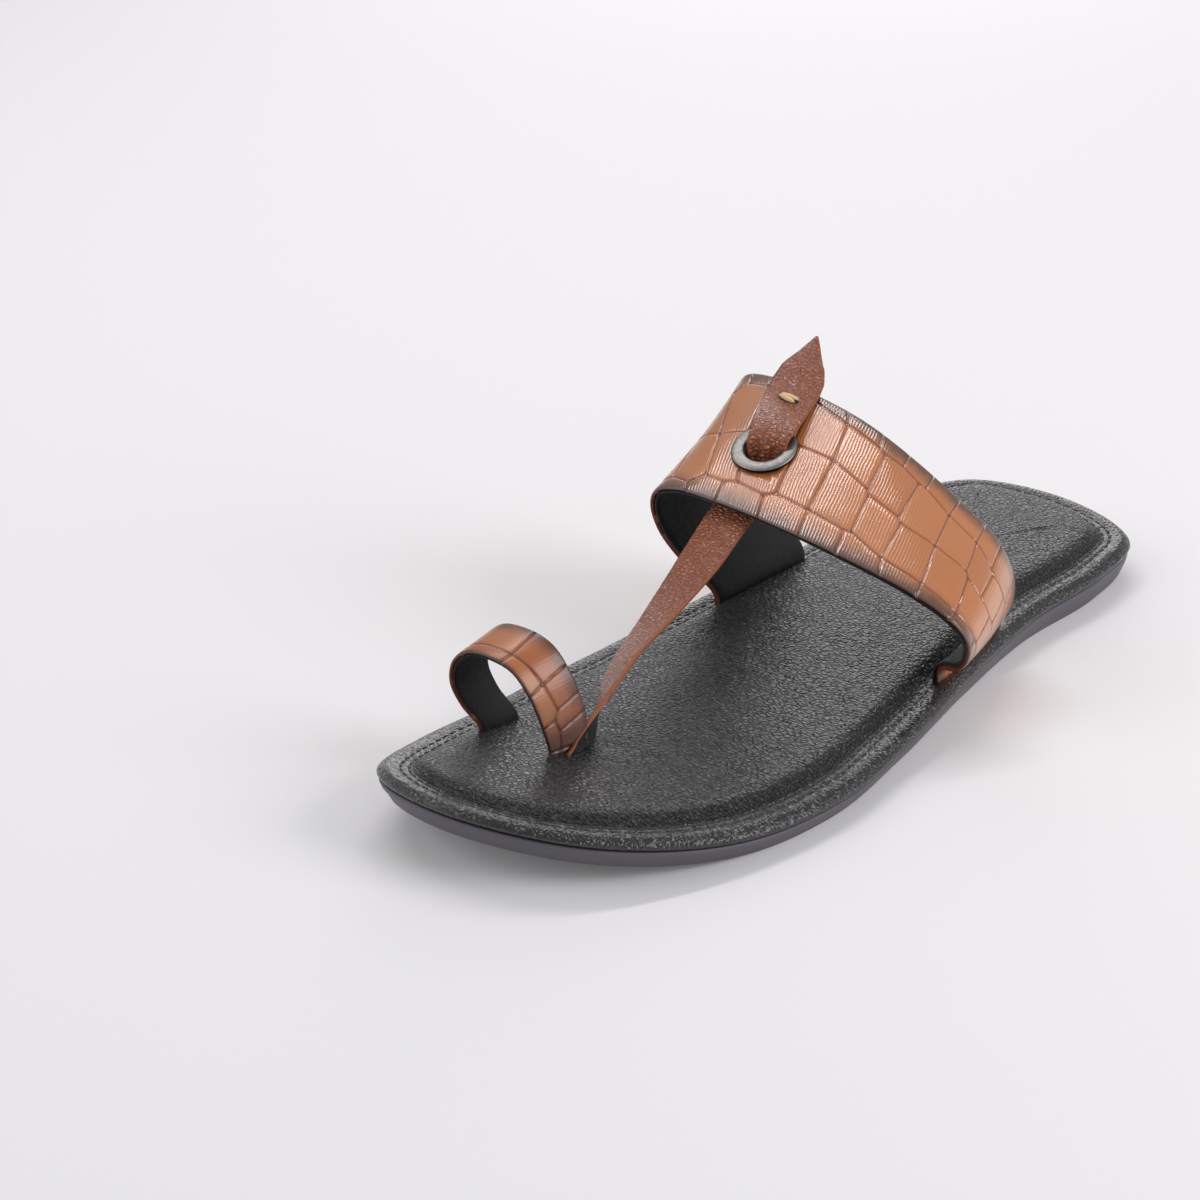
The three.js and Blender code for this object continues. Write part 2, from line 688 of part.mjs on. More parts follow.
function thongSolid(grow = 0) {
  const frames = thongFrames(grow);
  const face = (side) =>
    frames.map(({ place, across, normal, width }) =>
      Array.from({ length: THONG_WIDTH_STEPS + 1 }, (_, k) => {
        const share = k / THONG_WIDTH_STEPS - 0.5;
        return place
          .clone()
          .addScaledVector(across, -share * (width + 2 * grow))
          .addScaledVector(normal, side * (THONG_THICKNESS / 2 + grow));
      })
    );
  return strapSolid(face(1), face(-1));
}

// A block that keeps a grown strap's foot but not its arch, for cutting the slots.
function belowThePad() {
  const depth = padTop(heelY) * 2;
  const block = new THREE.BoxGeometry(BALL_WIDTH * 2, SOLE_LENGTH * 2, depth);
  block.deleteAttribute("normal");
  block.deleteAttribute("uv");
  return solid(block.translate(0, 0, 0));
}

const upper = bandSolid().subtract(eyeletBore()).add(loopSolid()).add(thongSolid());
const slots = bandSolid(SLOT_CLEARANCE)
  .add(loopSolid(SLOT_CLEARANCE))
  .add(thongSolid(SLOT_CLEARANCE))
  .intersect(belowThePad());
const insole = insoleSolid().subtract(slots);
const footbed = footbedSolid().subtract(slots);

const pieces = [
  { name: "outsole", made: outsoleSolid(), colour: 0x55545a, roughness: 0.55, metalness: 0 },
  { name: "footbed", made: footbed, colour: 0x17171a, roughness: 0.42, metalness: 0 },
  { name: "insole", made: insole, colour: 0x1d1d21, roughness: 0.5, metalness: 0 },
  { name: "upper", made: upper, colour: 0xb06a3a, roughness: 0.4, metalness: 0 },
  { name: "eyelet", made: eyeletSolid(), colour: 0x9c9e9b, roughness: 0.35, metalness: 1 },
];

const sandal = new THREE.Group();
sandal.name = "kolhapuri_sandal";
for (const { name, made, colour, roughness, metalness } of pieces) {
  const material = new THREE.MeshStandardMaterial({ color: colour, roughness, metalness });
  const mesh = new THREE.Mesh(geometryOf(made), material);
  mesh.name = name;
  sandal.add(mesh);
}

export default sandal;
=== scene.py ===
"""Looks for a left kolhapuri sandal: embossed tan straps, a grained thong, a padded black footbed.

Every length is in millimetres until a mesh is finished, when it is scaled to metres. +Z is up, the toe
points towards -Y, and the big-toe side is towards -X.
"""

from __future__ import annotations

import logging
import math
from dataclasses import dataclass, field
from enum import Enum
from typing import Any, Callable, Iterable, Sequence

import bmesh
import bpy
from bmesh.types import BMEdge, BMesh, BMVert
from bpy.types import Material, Node, NodeSocket, NodeTree, Object
from mathutils import Euler, Matrix, Vector

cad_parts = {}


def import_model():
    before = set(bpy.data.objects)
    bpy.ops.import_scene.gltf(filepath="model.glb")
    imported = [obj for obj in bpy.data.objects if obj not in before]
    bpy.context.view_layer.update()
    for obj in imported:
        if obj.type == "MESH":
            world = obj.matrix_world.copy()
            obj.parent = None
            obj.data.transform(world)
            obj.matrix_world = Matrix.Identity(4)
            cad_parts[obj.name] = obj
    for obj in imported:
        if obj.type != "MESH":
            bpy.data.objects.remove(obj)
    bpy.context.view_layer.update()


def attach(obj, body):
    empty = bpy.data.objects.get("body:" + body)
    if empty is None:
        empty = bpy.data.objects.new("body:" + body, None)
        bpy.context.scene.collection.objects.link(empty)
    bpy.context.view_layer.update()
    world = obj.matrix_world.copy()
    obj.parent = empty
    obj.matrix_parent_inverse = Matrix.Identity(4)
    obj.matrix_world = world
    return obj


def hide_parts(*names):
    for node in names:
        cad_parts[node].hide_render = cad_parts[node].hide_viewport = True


log = logging.getLogger("sandal")

MM = 0.001  # metres in a millimetre
BODY = "root"

Height = Callable[[float], float]  # the height at each y


class Layer(Enum):
    """The material slots of a strap, in order."""

    FACE = 0
    BACK = 1
    CUT_EDGE = 2


# Plain geometry.


def clamp(value: float, low: float = 0.0, high: float = 1.0) -> float:
    """Returns value kept between low and high."""
    return max(low, min(high, value))


def lerp(a: float, b: float, share: float) -> float:
    """Returns the number at that share of the way from a to b."""
    return a + (b - a) * share


@dataclass(frozen=True)
class SmoothLine:
    """A centripetal spline through points, the same kind as the part's own source draws."""

    points: tuple[Vector, ...]
    closed: bool = False

    def _neighbour(self, index: int) -> Vector:
        """Gives a control point, with one made up past each end of an open line.

        Args:
            index: which one, from one before the first to one after the last.

        Returns:
            The point.
        """
        count = len(self.points)
        if self.closed:
            return self.points[index % count]
        if index < 0:
            return self.points[0] * 2 - self.points[1]
        if index >= count:
            return self.points[-1] * 2 - self.points[-2]
        return self.points[index]

    def at(self, place: float) -> Vector:
        """Gives a point on the line.

        Args:
            place: which control point, with a fraction for a place between two.

        Returns:
            The point.
        """
        start = int(math.floor(place))
        if not self.closed:
            start = min(start, len(self.points) - 2)
        share = place - start
        p0, p1, p2, p3 = (self._neighbour(start + n) for n in (-1, 0, 1, 2))
        d0, d1, d2 = (max((b - a).length, 1e-8) ** 0.5 for a, b in ((p0, p1), (p1, p2), (p2, p3)))
        t1 = ((p1 - p0) / d0 - (p2 - p0) / (d0 + d1) + (p2 - p1) / d1) * d1
        t2 = ((p2 - p1) / d1 - (p3 - p1) / (d1 + d2) + (p3 - p2) / d2) * d1
        c2 = (p2 - p1) * 3 - t1 * 2 - t2
        c3 = (p1 - p2) * 2 + t1 + t2
        return p1 + t1 * share + c2 * share**2 + c3 * share**3

    def dense(self, per_stretch: int = 60) -> list[Vector]:
        """Gives points along the whole line.

        Args:
            per_stretch: how many to each stretch.

        Returns:
            The points.
        """
        stretches = len(self.points) if self.closed else len(self.points) - 1
        total = stretches * per_stretch
        return [self.at(n / per_stretch) for n in range(total + (0 if self.closed else 1))]

    def stations(self, per_stretch: int = 60) -> list[float]:
        """Returns the share of the line's length at which each control point lies."""
        marks = along(self.dense(per_stretch))
        return [marks[n * per_stretch] / marks[-1] for n in range(len(self.points))]


def along(chain: Sequence[Vector]) -> list[float]:
    """Measures a chain.

    Args:
        chain: its points.

    Returns:
        The running length at each point.
    """
    marks = [0.0]
    for a, b in zip(chain, chain[1:]):
        marks.append(marks[-1] + (b - a).length)
    return marks


def evenly(chain: Sequence[Vector], steps: int) -> list[Vector]:
    """Spaces points at equal distances along a chain.

    Args:
        chain: the points of the chain.
        steps: the number of equal steps.

    Returns:
        One more point than there are steps.
    """
    marks = along(chain)
    made, place = [], 0
    for n in range(steps + 1):
        wanted = marks[-1] * n / steps
        while place < len(chain) - 2 and marks[place + 1] < wanted:
            place += 1
        share = (wanted - marks[place]) / max(marks[place + 1] - marks[place], 1e-9)
        made.append(chain[place].lerp(chain[place + 1], clamp(share)))
    return made


# Meshes.


def add_object(name: str, data: bpy.types.ID) -> Object:
    """Puts an object in the scene.

    Args:
        name: its name.
        data: its mesh, light or camera.

    Returns:
        The object.
    """
    made = bpy.data.objects.new(name, data)
    bpy.context.scene.collection.objects.link(made)
    return made


def add_mesh(bm: BMesh, name: str, materials: Sequence[Material]) -> Object:
    """Turns a bmesh into a smooth object and frees it.

    Args:
        bm: the mesh, in metres.
        name: the object's name.
        materials: its materials, in slot order.

    Returns:
        The object, at the origin, with its place in its mesh.
    """
    mesh = bpy.data.meshes.new(name)
    bm.to_mesh(mesh)
    bm.free()
    for face in mesh.polygons:
        face.use_smooth = True
    for material in materials:
        mesh.materials.append(material)
    return add_object(name, mesh)


def finish_piece(
    bm: BMesh, name: str, materials: Sequence[Material], node: str | None = None
) -> Object:
    """Turns a bmesh in millimetres into a piece that rides on the sandal.

    Args:
        bm: the mesh, freed here.
        name: the piece's name.
        materials: the piece's materials, in slot order.
        node: the CAD node that it stands for.

    Returns:
        The piece.
    """
    bmesh.ops.scale(bm, vec=(MM, MM, MM), verts=bm.verts)
    piece = add_mesh(bm, name, materials)
    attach(piece, BODY)
    if node:
        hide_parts(node)
    return piece


def loft(rings: Sequence[Sequence[Vector]], folded: bool = False) -> BMesh:
    """Skins a closed shape over rings of equal count and closes both ends.

    Args:
        rings: closed loops of points, from one end of the shape to the other.
        folded: whether the last ring is folded flat onto a line, where its two sides merge.

    Returns:
        The bmesh, with its normals outwards.
    """
    bm = bmesh.new()
    made = bmesh.ops.create_circle(bm, cap_ends=False, segments=len(rings[0]), radius=1)
    verts = list(made["verts"])
    for vert, place in zip(verts, rings[0]):
        vert.co = place
    edges = ring_edges(verts)
    bmesh.ops.edgeloop_fill(bm, edges=edges)
    for ring in rings[1:]:
        made = bmesh.ops.extrude_edge_only(bm, edges=edges)
        fresh = {item for item in made["geom"] if isinstance(item, BMVert)}
        verts = [next(e.other_vert(v) for e in v.link_edges if e.other_vert(v) in fresh) for v in verts]
        for vert, place in zip(verts, ring):
            vert.co = place
        edges = ring_edges(verts)
    if folded:
        bmesh.ops.remove_doubles(bm, verts=verts, dist=0.001)
    else:
        bmesh.ops.edgeloop_fill(bm, edges=edges)
    bmesh.ops.recalc_face_normals(bm, faces=bm.faces)
    return bm


def ring_edges(verts: Sequence[BMVert]) -> list[BMEdge]:
    """Finds the edges that join a ring of vertices.

    Args:
        verts: the vertices, in order.

    Returns:
        Their edges, in the same order.
    """
    edges = []
    for a, b in zip(verts, [*verts[1:], verts[0]]):
        edges.append(next(e for e in a.link_edges if e.other_vert(a) is b))
    return edges


def everything(bm: BMesh) -> list[Any]:
    """Returns all the geometry of a bmesh, for an operator that wants it in one list."""
    return [*bm.verts, *bm.edges, *bm.faces]


# Shading nodes.


def linear(hex_colour: str) -> tuple[float, float, float, float]:
    """Turns an sRGB hex colour such as "#b8754a" into the linear colour that a shader wants."""
    shares = [int(hex_colour[n : n + 2], 16) / 255 for n in (1, 3, 5)]
    return (*(c / 12.92 if c <= 0.04045 else ((c + 0.055) / 1.055) ** 2.4 for c in shares), 1.0)


def add_node(tree: NodeTree, kind: str, links: dict[str | int, Any] | None = None, **settings: Any) -> Node:
    """Adds a shader node, sets it up and links it.

    Args:
        tree: the material's node tree.
        kind: the shader node's type, such as "Bump".
        links: input name or number to an output socket to link, or to a value to set.
        settings: the node's own properties.

    Returns:
        The node.
    """
    node = tree.nodes.new("ShaderNode" + kind)
    for name, value in settings.items():
        setattr(node, name, value)
    for name, value in (links or {}).items():
        if isinstance(value, NodeSocket):
            tree.links.new(value, node.inputs[name])
        else:
            node.inputs[name].default_value = value
    return node


def set_ramp(node: Node, stops: Iterable[tuple[float, str]]) -> None:
    """Gives a colour ramp its stops.

    Args:
        node: the ramp.
        stops: pairs of place and sRGB hex colour.
    """
    wanted = list(stops)
    elements = node.color_ramp.elements
    while len(elements) < len(wanted):
        elements.new(0.5)
    for element, (place, colour) in zip(elements, wanted):
        element.position = place
        element.color = linear(colour)


@dataclass(frozen=True)
class Finish:
    """A surface with one shader, whose colour and relief its own kind of finish draws."""

    name: str
    colour: str
    roughness: float = 0.5
    metallic: float = 0.0
    ior: float = 1.5
    coat: float = 0.0
    coat_roughness: float = 0.1
    coat_ior: float = 1.5
    sheen: float = 0.0
    sheen_roughness: float = 0.45
    depth_mm: float = 0.0  # how deep its relief is

    def material(self) -> Material:
        """Makes the material.

        Returns:
            A material with a Principled shader, driven by what the finish's own draw method gives.
        """
        made = bpy.data.materials.new(self.name)
        made.use_nodes = True
        tree = made.node_tree
        shader = tree.nodes["Principled BSDF"]
        settings = {
            "Base Color": linear(self.colour),
            "Roughness": self.roughness,
            "Metallic": self.metallic,
            "Coat Weight": self.coat,
            "Coat Roughness": self.coat_roughness,
            "Coat IOR": self.coat_ior,
            "Sheen Weight": self.sheen,
            "Sheen Roughness": self.sheen_roughness,
        }
        if self.metallic == 0:
            settings["IOR"] = self.ior
        for name, value in settings.items():
            shader.inputs[name].default_value = value
        drawn = self.draw(tree)
        height = drawn.pop("Height", None)
        if height:
            relief = {"Height": height, "Strength": 1.0, "Distance": self.depth_mm * MM}
            bump = add_node(tree, "Bump", relief)
            drawn |= {"Normal": bump.outputs[0], "Coat Normal": bump.outputs[0]}
        for name, socket in drawn.items():
            tree.links.new(socket, shader.inputs[name])
        return made

    def draw(self, tree: NodeTree) -> dict[str, NodeSocket]:
        """Draws the surface: nothing, on a plain one.

        Args:
            tree: the material's node tree, not used on a plain surface.

        Returns:
            What drives each shader input, and the relief's height.
        """
        return {}


@dataclass(frozen=True)
class GrainLeather(Finish):
    """Drum-dyed, lightly corrected leather: fine raised pebbles with creases between them, painted shade in
    the creases and a painted highlight on the pebble tops.
    """

    grain_mm: float = 0.9
    stretch: tuple[float, float, float] = (1.0, 1.0, 1.0)
    depth_mm: float = 0.09
    warp: float = 0.55
    swells_per_mm: float = 0.09
    swell_share: float = 1.4
    crease_width: float = 0.2
    crease_roughness: float = 0.75
    crease_shade_colour: str = "#0c0c0d"
    highlight_colour: str = "#3b3a3d"
    uses_uv: bool = False

    def draw(self, tree: NodeTree) -> dict[str, NodeSocket]:
        """Draws pebbles from cells that a noise bends, with painted shade in the creases between them and a
        painted highlight on their tops.

        Args:
            tree: the material's node tree.

        Returns:
            What drives each shader input, and the relief's height.
        """
        source = add_node(tree, "TexCoord").outputs["UV" if self.uses_uv else "Object"]
        unit = 1.0 if self.uses_uv else 1 / MM
        mapping = add_node(tree, "Mapping", {"Vector": source, "Scale": [unit * s for s in self.stretch]})
        flat = mapping.outputs[0]
        warp, broad = (
            add_node(tree, "TexNoise", {"Vector": flat, "Scale": scale, "Detail": detail, "Roughness": rough})
            for scale, detail, rough in ((0.9 / self.grain_mm, 3.0, 0.6), (self.swells_per_mm, 2.0, 0.5))
        )
        bend = {0: warp.outputs["Color"], "Scale": self.grain_mm * self.warp}
        moved = add_node(tree, "VectorMath", bend, operation="SCALE")
        place = add_node(tree, "VectorMath", {0: flat, 1: moved.outputs[0]}, operation="ADD")
        cell = {"Vector": place.outputs[0], "Scale": 1 / self.grain_mm, "Randomness": 1.0}
        cells = add_node(tree, "TexVoronoi", cell, feature="DISTANCE_TO_EDGE")
        rise = {"Value": cells.outputs["Distance"], "From Max": self.crease_width}
        pebble = add_node(tree, "MapRange", rise, interpolation_type="SMOOTHSTEP").outputs[0]
        swell = {0: broad.outputs["Fac"], 1: self.swell_share, 2: pebble}
        height = add_node(tree, "Math", swell, operation="MULTIPLY_ADD")
        # The colour runs from painted shade in the creases, through the leather's own colour, to a painted
        # highlight on the pebble tops.
        tone = add_node(tree, "ValToRGB", {"Fac": pebble})
        set_ramp(tone, ((0.0, self.crease_shade_colour), (0.55, self.colour), (1.0, self.highlight_colour)))
        shine = {"Value": pebble, "To Min": self.crease_roughness, "To Max": self.roughness}
        gloss = add_node(tree, "MapRange", shine)
        return {
            "Base Color": tone.outputs["Color"], "Roughness": gloss.outputs[0], "Height": height.outputs[0]
        }


@dataclass(frozen=True)
class EmbossedLeather(Finish):
    """Plated and embossed leather with a polished reptile pattern and burnished strap edges.

    The pattern itself is in the mesh. A colour attribute on its corners carries each scale's tone (red), how
    deep in a crease a point lies (green), which sets the painted shade in the creases, and how burnished it
    is (blue).
    """

    scale_light: str = "#c67c48"
    scale_dark: str = "#ba723f"
    crease_shade_colour: str = "#8f4c2d"
    burnish_colour: str = "#45312c"
    rib_mm: float = 0.95
    depth_mm: float = 0.016
    wander_mm: float = 1.2
    pore_share: float = 0.8

    def draw(self, tree: NodeTree) -> dict[str, NodeSocket]:
        """Mixes tones, painted shade in the creases and burnish, and adds the fine ribs that run across the
        strap.

        Args:
            tree: the material's node tree.

        Returns:
            What drives each shader input, and the relief's height.
        """
        tone_shade_burnish = add_node(tree, "Attribute", attribute_name="tone_shade_burnish", attribute_type="GEOMETRY")
        parts = add_node(tree, "SeparateColor", {"Color": tone_shade_burnish.outputs["Color"]}).outputs
        flat = add_node(tree, "TexCoord").outputs["UV"]
        # The noises behind the tone, the burnish, the ribs' wandering and the pores: how many to a
        # millimetre, their detail and their roughness.
        noises = ((0.11, 4.0, 0.55), (0.22, 3.0, 0.6), (0.12, 1.0, 0.5), (1.7, 3.0, 0.6))
        cloud, patchy, shift, pores = (
            add_node(tree, "TexNoise", {"Vector": flat, "Scale": scale, "Detail": detail, "Roughness": rough})
            for scale, detail, rough in noises
        )
        stain = {0: cloud.outputs["Fac"], 1: 0.6, 2: parts["Red"]}
        tone = add_node(tree, "Math", stain, operation="MULTIPLY_ADD")
        scales = add_node(tree, "ValToRGB", {"Fac": tone.outputs[0]})
        set_ramp(scales, ((0.25, self.scale_dark), (0.95, self.scale_light)))
        # Painted shade: the deeper a point lies in a crease, the nearer its colour comes to the crease shade.
        crease = {"Factor": parts["Green"], 6: scales.outputs["Color"], 7: linear(self.crease_shade_colour)}
        creased = add_node(tree, "Mix", crease, data_type="RGBA")
        wear = {0: patchy.outputs["Fac"], 1: 0.5, 2: parts["Blue"]}
        burnt = add_node(tree, "Math", wear, operation="MULTIPLY_ADD")
        fade = {"Value": burnt.outputs[0], "From Min": 0.45, "From Max": 1.2, "To Max": 0.85}
        reach = add_node(tree, "MapRange", fade, interpolation_type="SMOOTHSTEP")
        burnish = {"Factor": reach.outputs[0], 6: creased.outputs[2], 7: linear(self.burnish_colour)}
        burnished = add_node(tree, "Mix", burnish, data_type="RGBA")
        across = add_node(tree, "SeparateXYZ", {"Vector": flat}).outputs["X"]
        drift = {0: shift.outputs["Fac"], 1: self.wander_mm, 2: across}
        wander = add_node(tree, "Math", drift, operation="MULTIPLY_ADD")
        turns = {0: wander.outputs[0], 1: 2 * math.pi / self.rib_mm}
        phase = add_node(tree, "Math", turns, operation="MULTIPLY")
        rib = add_node(tree, "Math", {0: phase.outputs[0]}, operation="SINE")
        rough = {0: pores.outputs["Fac"], 1: self.pore_share, 2: rib.outputs[0]}
        height = add_node(tree, "Math", rough, operation="MULTIPLY_ADD")
        return {"Base Color": burnished.outputs[2], "Height": height.outputs[0]}


@dataclass(frozen=True)
class RoughFinish(Finish):
    """A surface with a single colour that two noises of real sizes make uneven."""

    mottle_colour: str = "#000000"
    mottle_mm: float = 6.0
    mottle_share: float = 0.35
    nap_mm: float = 0.5
    depth_mm: float = 0.08

    def draw(self, tree: NodeTree) -> dict[str, NodeSocket]:
        """Mixes the second colour in by a broad noise and adds relief by a fine one.

        Args:
            tree: the material's node tree.

        Returns:
            What drives each shader input, and the relief's height.
        """
        spot = add_node(tree, "TexCoord").outputs["Object"]
        noises = ((1 / (self.mottle_mm * MM), 4.0, 0.6), (1 / (self.nap_mm * MM), 3.0, 0.65))
        broad, nap = (
            add_node(tree, "TexNoise", {"Vector": spot, "Scale": scale, "Detail": detail, "Roughness": rough})
            for scale, detail, rough in noises
        )
        spread = {"From Min": 0.35, "From Max": 0.75, "To Max": self.mottle_share}
        reach = add_node(tree, "MapRange", {"Value": broad.outputs["Fac"], **spread})
        mottle = {"Factor": reach.outputs[0], 6: linear(self.colour), 7: linear(self.mottle_colour)}
        colour = add_node(tree, "Mix", mottle, data_type="RGBA")
        return {"Base Color": colour.outputs[2], "Height": nap.outputs["Fac"]}


# Full-grain upholstery-weight leather, dyed black and lightly milled: it shows short wrinkles that run
# across the foot, and a soft sheen from a wax top coat.
# Its crease colour is painted shade, and its highlight colour is a painted highlight.
INSOLE_LEATHER = GrainLeather(
    "black_milled_leather", "#161417", roughness=0.45, ior=1.4, coat=0.6, coat_roughness=0.2,
    grain_mm=1.35, stretch=(0.75, 1.2, 1.0), depth_mm=0.5, warp=0.5, crease_width=0.3,
    crease_roughness=0.5, crease_shade_colour="#060506", highlight_colour="#2b292d",
)
# The same hide, shaved and stretched over the board's rim, so its grain is flatter and it shines more.
# Its crease colour is painted shade, and its highlight colour is a painted highlight.
RIM_LEATHER = GrainLeather(
    "black_rim_leather", "#131114", roughness=0.4, coat=0.8, coat_roughness=0.2,
    grain_mm=1.3, depth_mm=0.3, warp=0.5, crease_width=0.6, crease_roughness=0.5,
    crease_shade_colour="#050405", highlight_colour="#1e1c20",
)
# Shrunken pebble-grain leather dyed mid brown: round pebbles over a millimetre wide, bright on top from their
# gloss and a painted highlight, with painted shade in the creases.
THONG_LEATHER = GrainLeather(
    "brown_pebble_leather", "#b5653a", roughness=0.5, ior=1.35, coat=0.8, coat_roughness=0.16, coat_ior=1.6,
    grain_mm=1.3, stretch=(0.8, 1.25, 1.0), depth_mm=0.4, warp=0.4, crease_width=0.42,
    crease_roughness=0.5, crease_shade_colour="#7e3f24", highlight_colour="#b66a42", uses_uv=True,
)
# Embossed leather, plated under heat, then polished with wax: glossy scales over a tan ground, with painted
# shade in the creases.
STRAP_LEATHER = EmbossedLeather(
    "embossed_tan_leather", "#b8754a", roughness=0.4, coat=0.9, coat_roughness=0.13, coat_ior=1.6,
)
# The loop is cut from the belly of the same hide, where the plate leaves no ribs and the dye is darker.
# Its crease colour is painted shade as well.
LOOP_LEATHER = EmbossedLeather(
    "embossed_brown_leather", "#a9663f", roughness=0.42, coat=0.5, coat_roughness=0.24, scale_light="#b66f42",
    scale_dark="#a35c38", crease_shade_colour="#6b3a27", depth_mm=0.005,
)
# The flesh side of a split, dyed black: no gloss, a short nap.
LINING = RoughFinish(
    "black_split_lining", "#100f0f", roughness=0.75, sheen=0.1, mottle_colour="#1f1c1d", nap_mm=3.2,
    depth_mm=0.7,
)
# Cut leather edge, stained red brown and rubbed: fibrous, half matte.
CUT_EDGE = RoughFinish(
    "stained_cut_edge", "#8a4630", roughness=0.5, mottle_colour="#5a2a1e", mottle_mm=2.0, nap_mm=0.35,
)
# The thong's edge is left natural: the vegetable-tanned core shows, orange tan and dry.
NATURAL_EDGE = RoughFinish(
    "natural_cut_edge", "#a2623f", roughness=0.6, mottle_colour="#7a4029", mottle_mm=1.5, nap_mm=0.3,
)
# Moulded microcellular rubber in dark grey: fine, even and matte, as a sandblasted mould leaves it.
OUTSOLE_RUBBER = RoughFinish(
    "moulded_grey_rubber", "#5b585f", roughness=0.5, mottle_colour="#504d54", mottle_mm=18.0, nap_mm=0.45,
    depth_mm=0.02,
)
# Bonded polyester thread, dyed black and waxed.
BLACK_THREAD = RoughFinish(
    "black_waxed_thread", "#222123", roughness=0.45, mottle_colour="#2c2b2e", mottle_mm=0.6, nap_mm=0.25,
    depth_mm=0.06,
)
# Undyed linen thread with beeswax: straw colour, a little shiny.
TAN_THREAD = RoughFinish(
    "straw_linen_thread", "#f4d6a2", roughness=0.4, mottle_colour="#c08a4e", mottle_mm=0.8, nap_mm=0.3,
    depth_mm=0.12,
)
# Pressed zinc alloy with an antique silver plating: greyer in its low places, brushed smooth on top.
EYELET_METAL = RoughFinish(
    "antique_silver_plate", "#a09e99", roughness=0.44, metallic=1.0, mottle_colour="#5f605a", mottle_mm=1.4,
    mottle_share=0.6, nap_mm=1.1, depth_mm=0.07,
)
# The same plating where the polishing wheel does not reach, left almost black with oxide, and with painted
# shade in these crevices at the flange's outer edge and round the hole.
EYELET_SHADE = RoughFinish(
    "oxidised_and_shaded_silver_plate", "#2f2e2b", roughness=0.6, metallic=1.0, mottle_colour="#1c1b19", mottle_mm=1.0,
)


# The sole.


@dataclass(frozen=True)
class SoleShape:
    """The outline of the sole and the heights of its layers."""

    length: float = 280.0
    ball_width: float = 102.0
    toe_spring: float = 12.0
    toe_spring_start: float = 72.0
    outsole_thickness: float = 5.0
    heel_thickness: float = 8.4
    heel_rise_start: float = 97.0
    rim_thickness: float = 3.4
    rim_overhang: float = 0.5
    undercut: float = 1.8
    margin_width: float = 10.5
    pad_thickness: float = 2.8
    pad_crown: float = 0.9
    gap: float = 0.3
    margin_share: float = 0.94  # the margin's height, as a share of the rim's
    spine_share: float = 0.72  # how long the insole's middle line is
    steps: int = 320
    # Places from the heel along the length, and across it as shares of half the ball's width.
    outline: tuple[tuple[float, float], ...] = (
        (0.0, 0.02), (0.047, 0.62), (0.136, 0.75), (0.27, 0.755), (0.41, 0.87), (0.565, 1.04),
        (0.7, 1.13), (0.84, 0.98), (0.955, 0.55), (1.0, -0.04), (0.972, -0.56), (0.875, -0.8),
        (0.73, -0.865), (0.583, -0.845), (0.44, -0.83), (0.275, -0.8), (0.115, -0.82), (0.02, -0.57),
    )

    def spring(self, y: float) -> float:
        """Returns how far the outsole's underside is off the floor."""
        past = clamp((self.toe_spring_start - self.length / 2 - y) / self.toe_spring_start)
        return self.toe_spring * past * past

    def outsole_top(self, y: float) -> float:
        """Returns the height of the outsole's upper face."""
        share = clamp((y + self.length / 2 - self.heel_rise_start) / (self.length - self.heel_rise_start))
        return self.spring(y) + lerp(self.outsole_thickness, self.heel_thickness, share)

    def margin_top(self, y: float) -> float:
        """Returns the height of the footbed's stitched margin."""
        return self.outsole_top(y) + self.gap + self.rim_thickness * self.margin_share

    def pad_top(self, y: float) -> float:
        """Returns the height of the padded insole at its edge."""
        return self.outsole_top(y) + self.rim_thickness + 2 * self.gap + self.pad_thickness

    def edge(self) -> list[Vector]:
        """Draws the outline.

        Returns:
            Points at equal distances round it, at height zero.
        """
        points = tuple(
            Vector((across * self.ball_width / 2, lerp(self.length / 2, -self.length / 2, place), 0))
            for place, across in self.outline
        )
        chain = SmoothLine(points, closed=True).dense()
        return evenly([*chain, chain[0]], self.steps)[:-1]

    def ring(self, inset: float, height: Height) -> list[Vector]:
        """Moves the outline inwards and lifts it.

        Args:
            inset: how far inwards.
            height: the height at each y.

        Returns:
            One point for each point of the outline.
        """
        loop = self.edge()
        moved = []
        for before, here, after in zip([loop[-1], *loop], loop, [*loop[1:], loop[0]]):
            outward = Vector((before.y - after.y, after.x - before.x, 0)).normalized()
            place = here - outward * inset
            moved.append(Vector((place.x, place.y, height(place.y))))
        return moved

    def shrunk(self, ring: Sequence[Vector], share: float, height: Height) -> list[Vector]:
        """Draws a ring in towards a line down the middle of the sole, where its two sides meet.

        Args:
            ring: the ring to start from.
            share: how far it is drawn in, from 0 to 1.
            height: the height at each y.

        Returns:
            The smaller ring.
        """
        middle = sum((p.x for p in ring), 0.0) / len(ring)
        drawn = []
        for n, p in enumerate(ring):
            place = p.lerp(Vector((middle, (p.y + ring[-n].y) / 2 * self.spine_share, 0)), share)
            drawn.append(Vector((place.x, place.y, height(place.y))))
        return drawn


@dataclass
class Outsole:
    """The moulded outsole with an undercut wall."""

    shape: SoleShape
    tread_edge_inset: float = 3.2
    tread_edge_height: float = 1.6

    def build(self) -> Object:
        """Builds and dresses the outsole.

        Returns:
            The piece that stands for the CAD outsole.
        """
        shape, step, lip = self.shape, self.tread_edge_height, self.shape.rim_overhang
        foot = lip + shape.undercut
        # How far in, at what share of the wall's height, and how far above that.
        profile = (
            (self.tread_edge_inset, 0.0, 0.0), (foot + 0.3, 0.0, step * 0.6), (foot, 0.0, step),
            (lerp(foot, lip, 0.7), 0.6, 0.0), (lip, 1.0, -0.7), (lip + 0.12, 1.0, -0.2),
            (lip + 0.5, 1.0, 0.0),
        )
        bm = loft([shape.ring(inset, self.level(share, above)) for inset, share, above in profile])
        return finish_piece(bm, "outsole_shell", [OUTSOLE_RUBBER.material()], "outsole")

    def level(self, share: float, above: float) -> Height:
        """Returns the height function that far above that share of the wall's height."""
        return lambda y: lerp(self.shape.spring(y), self.shape.outsole_top(y), share) + above


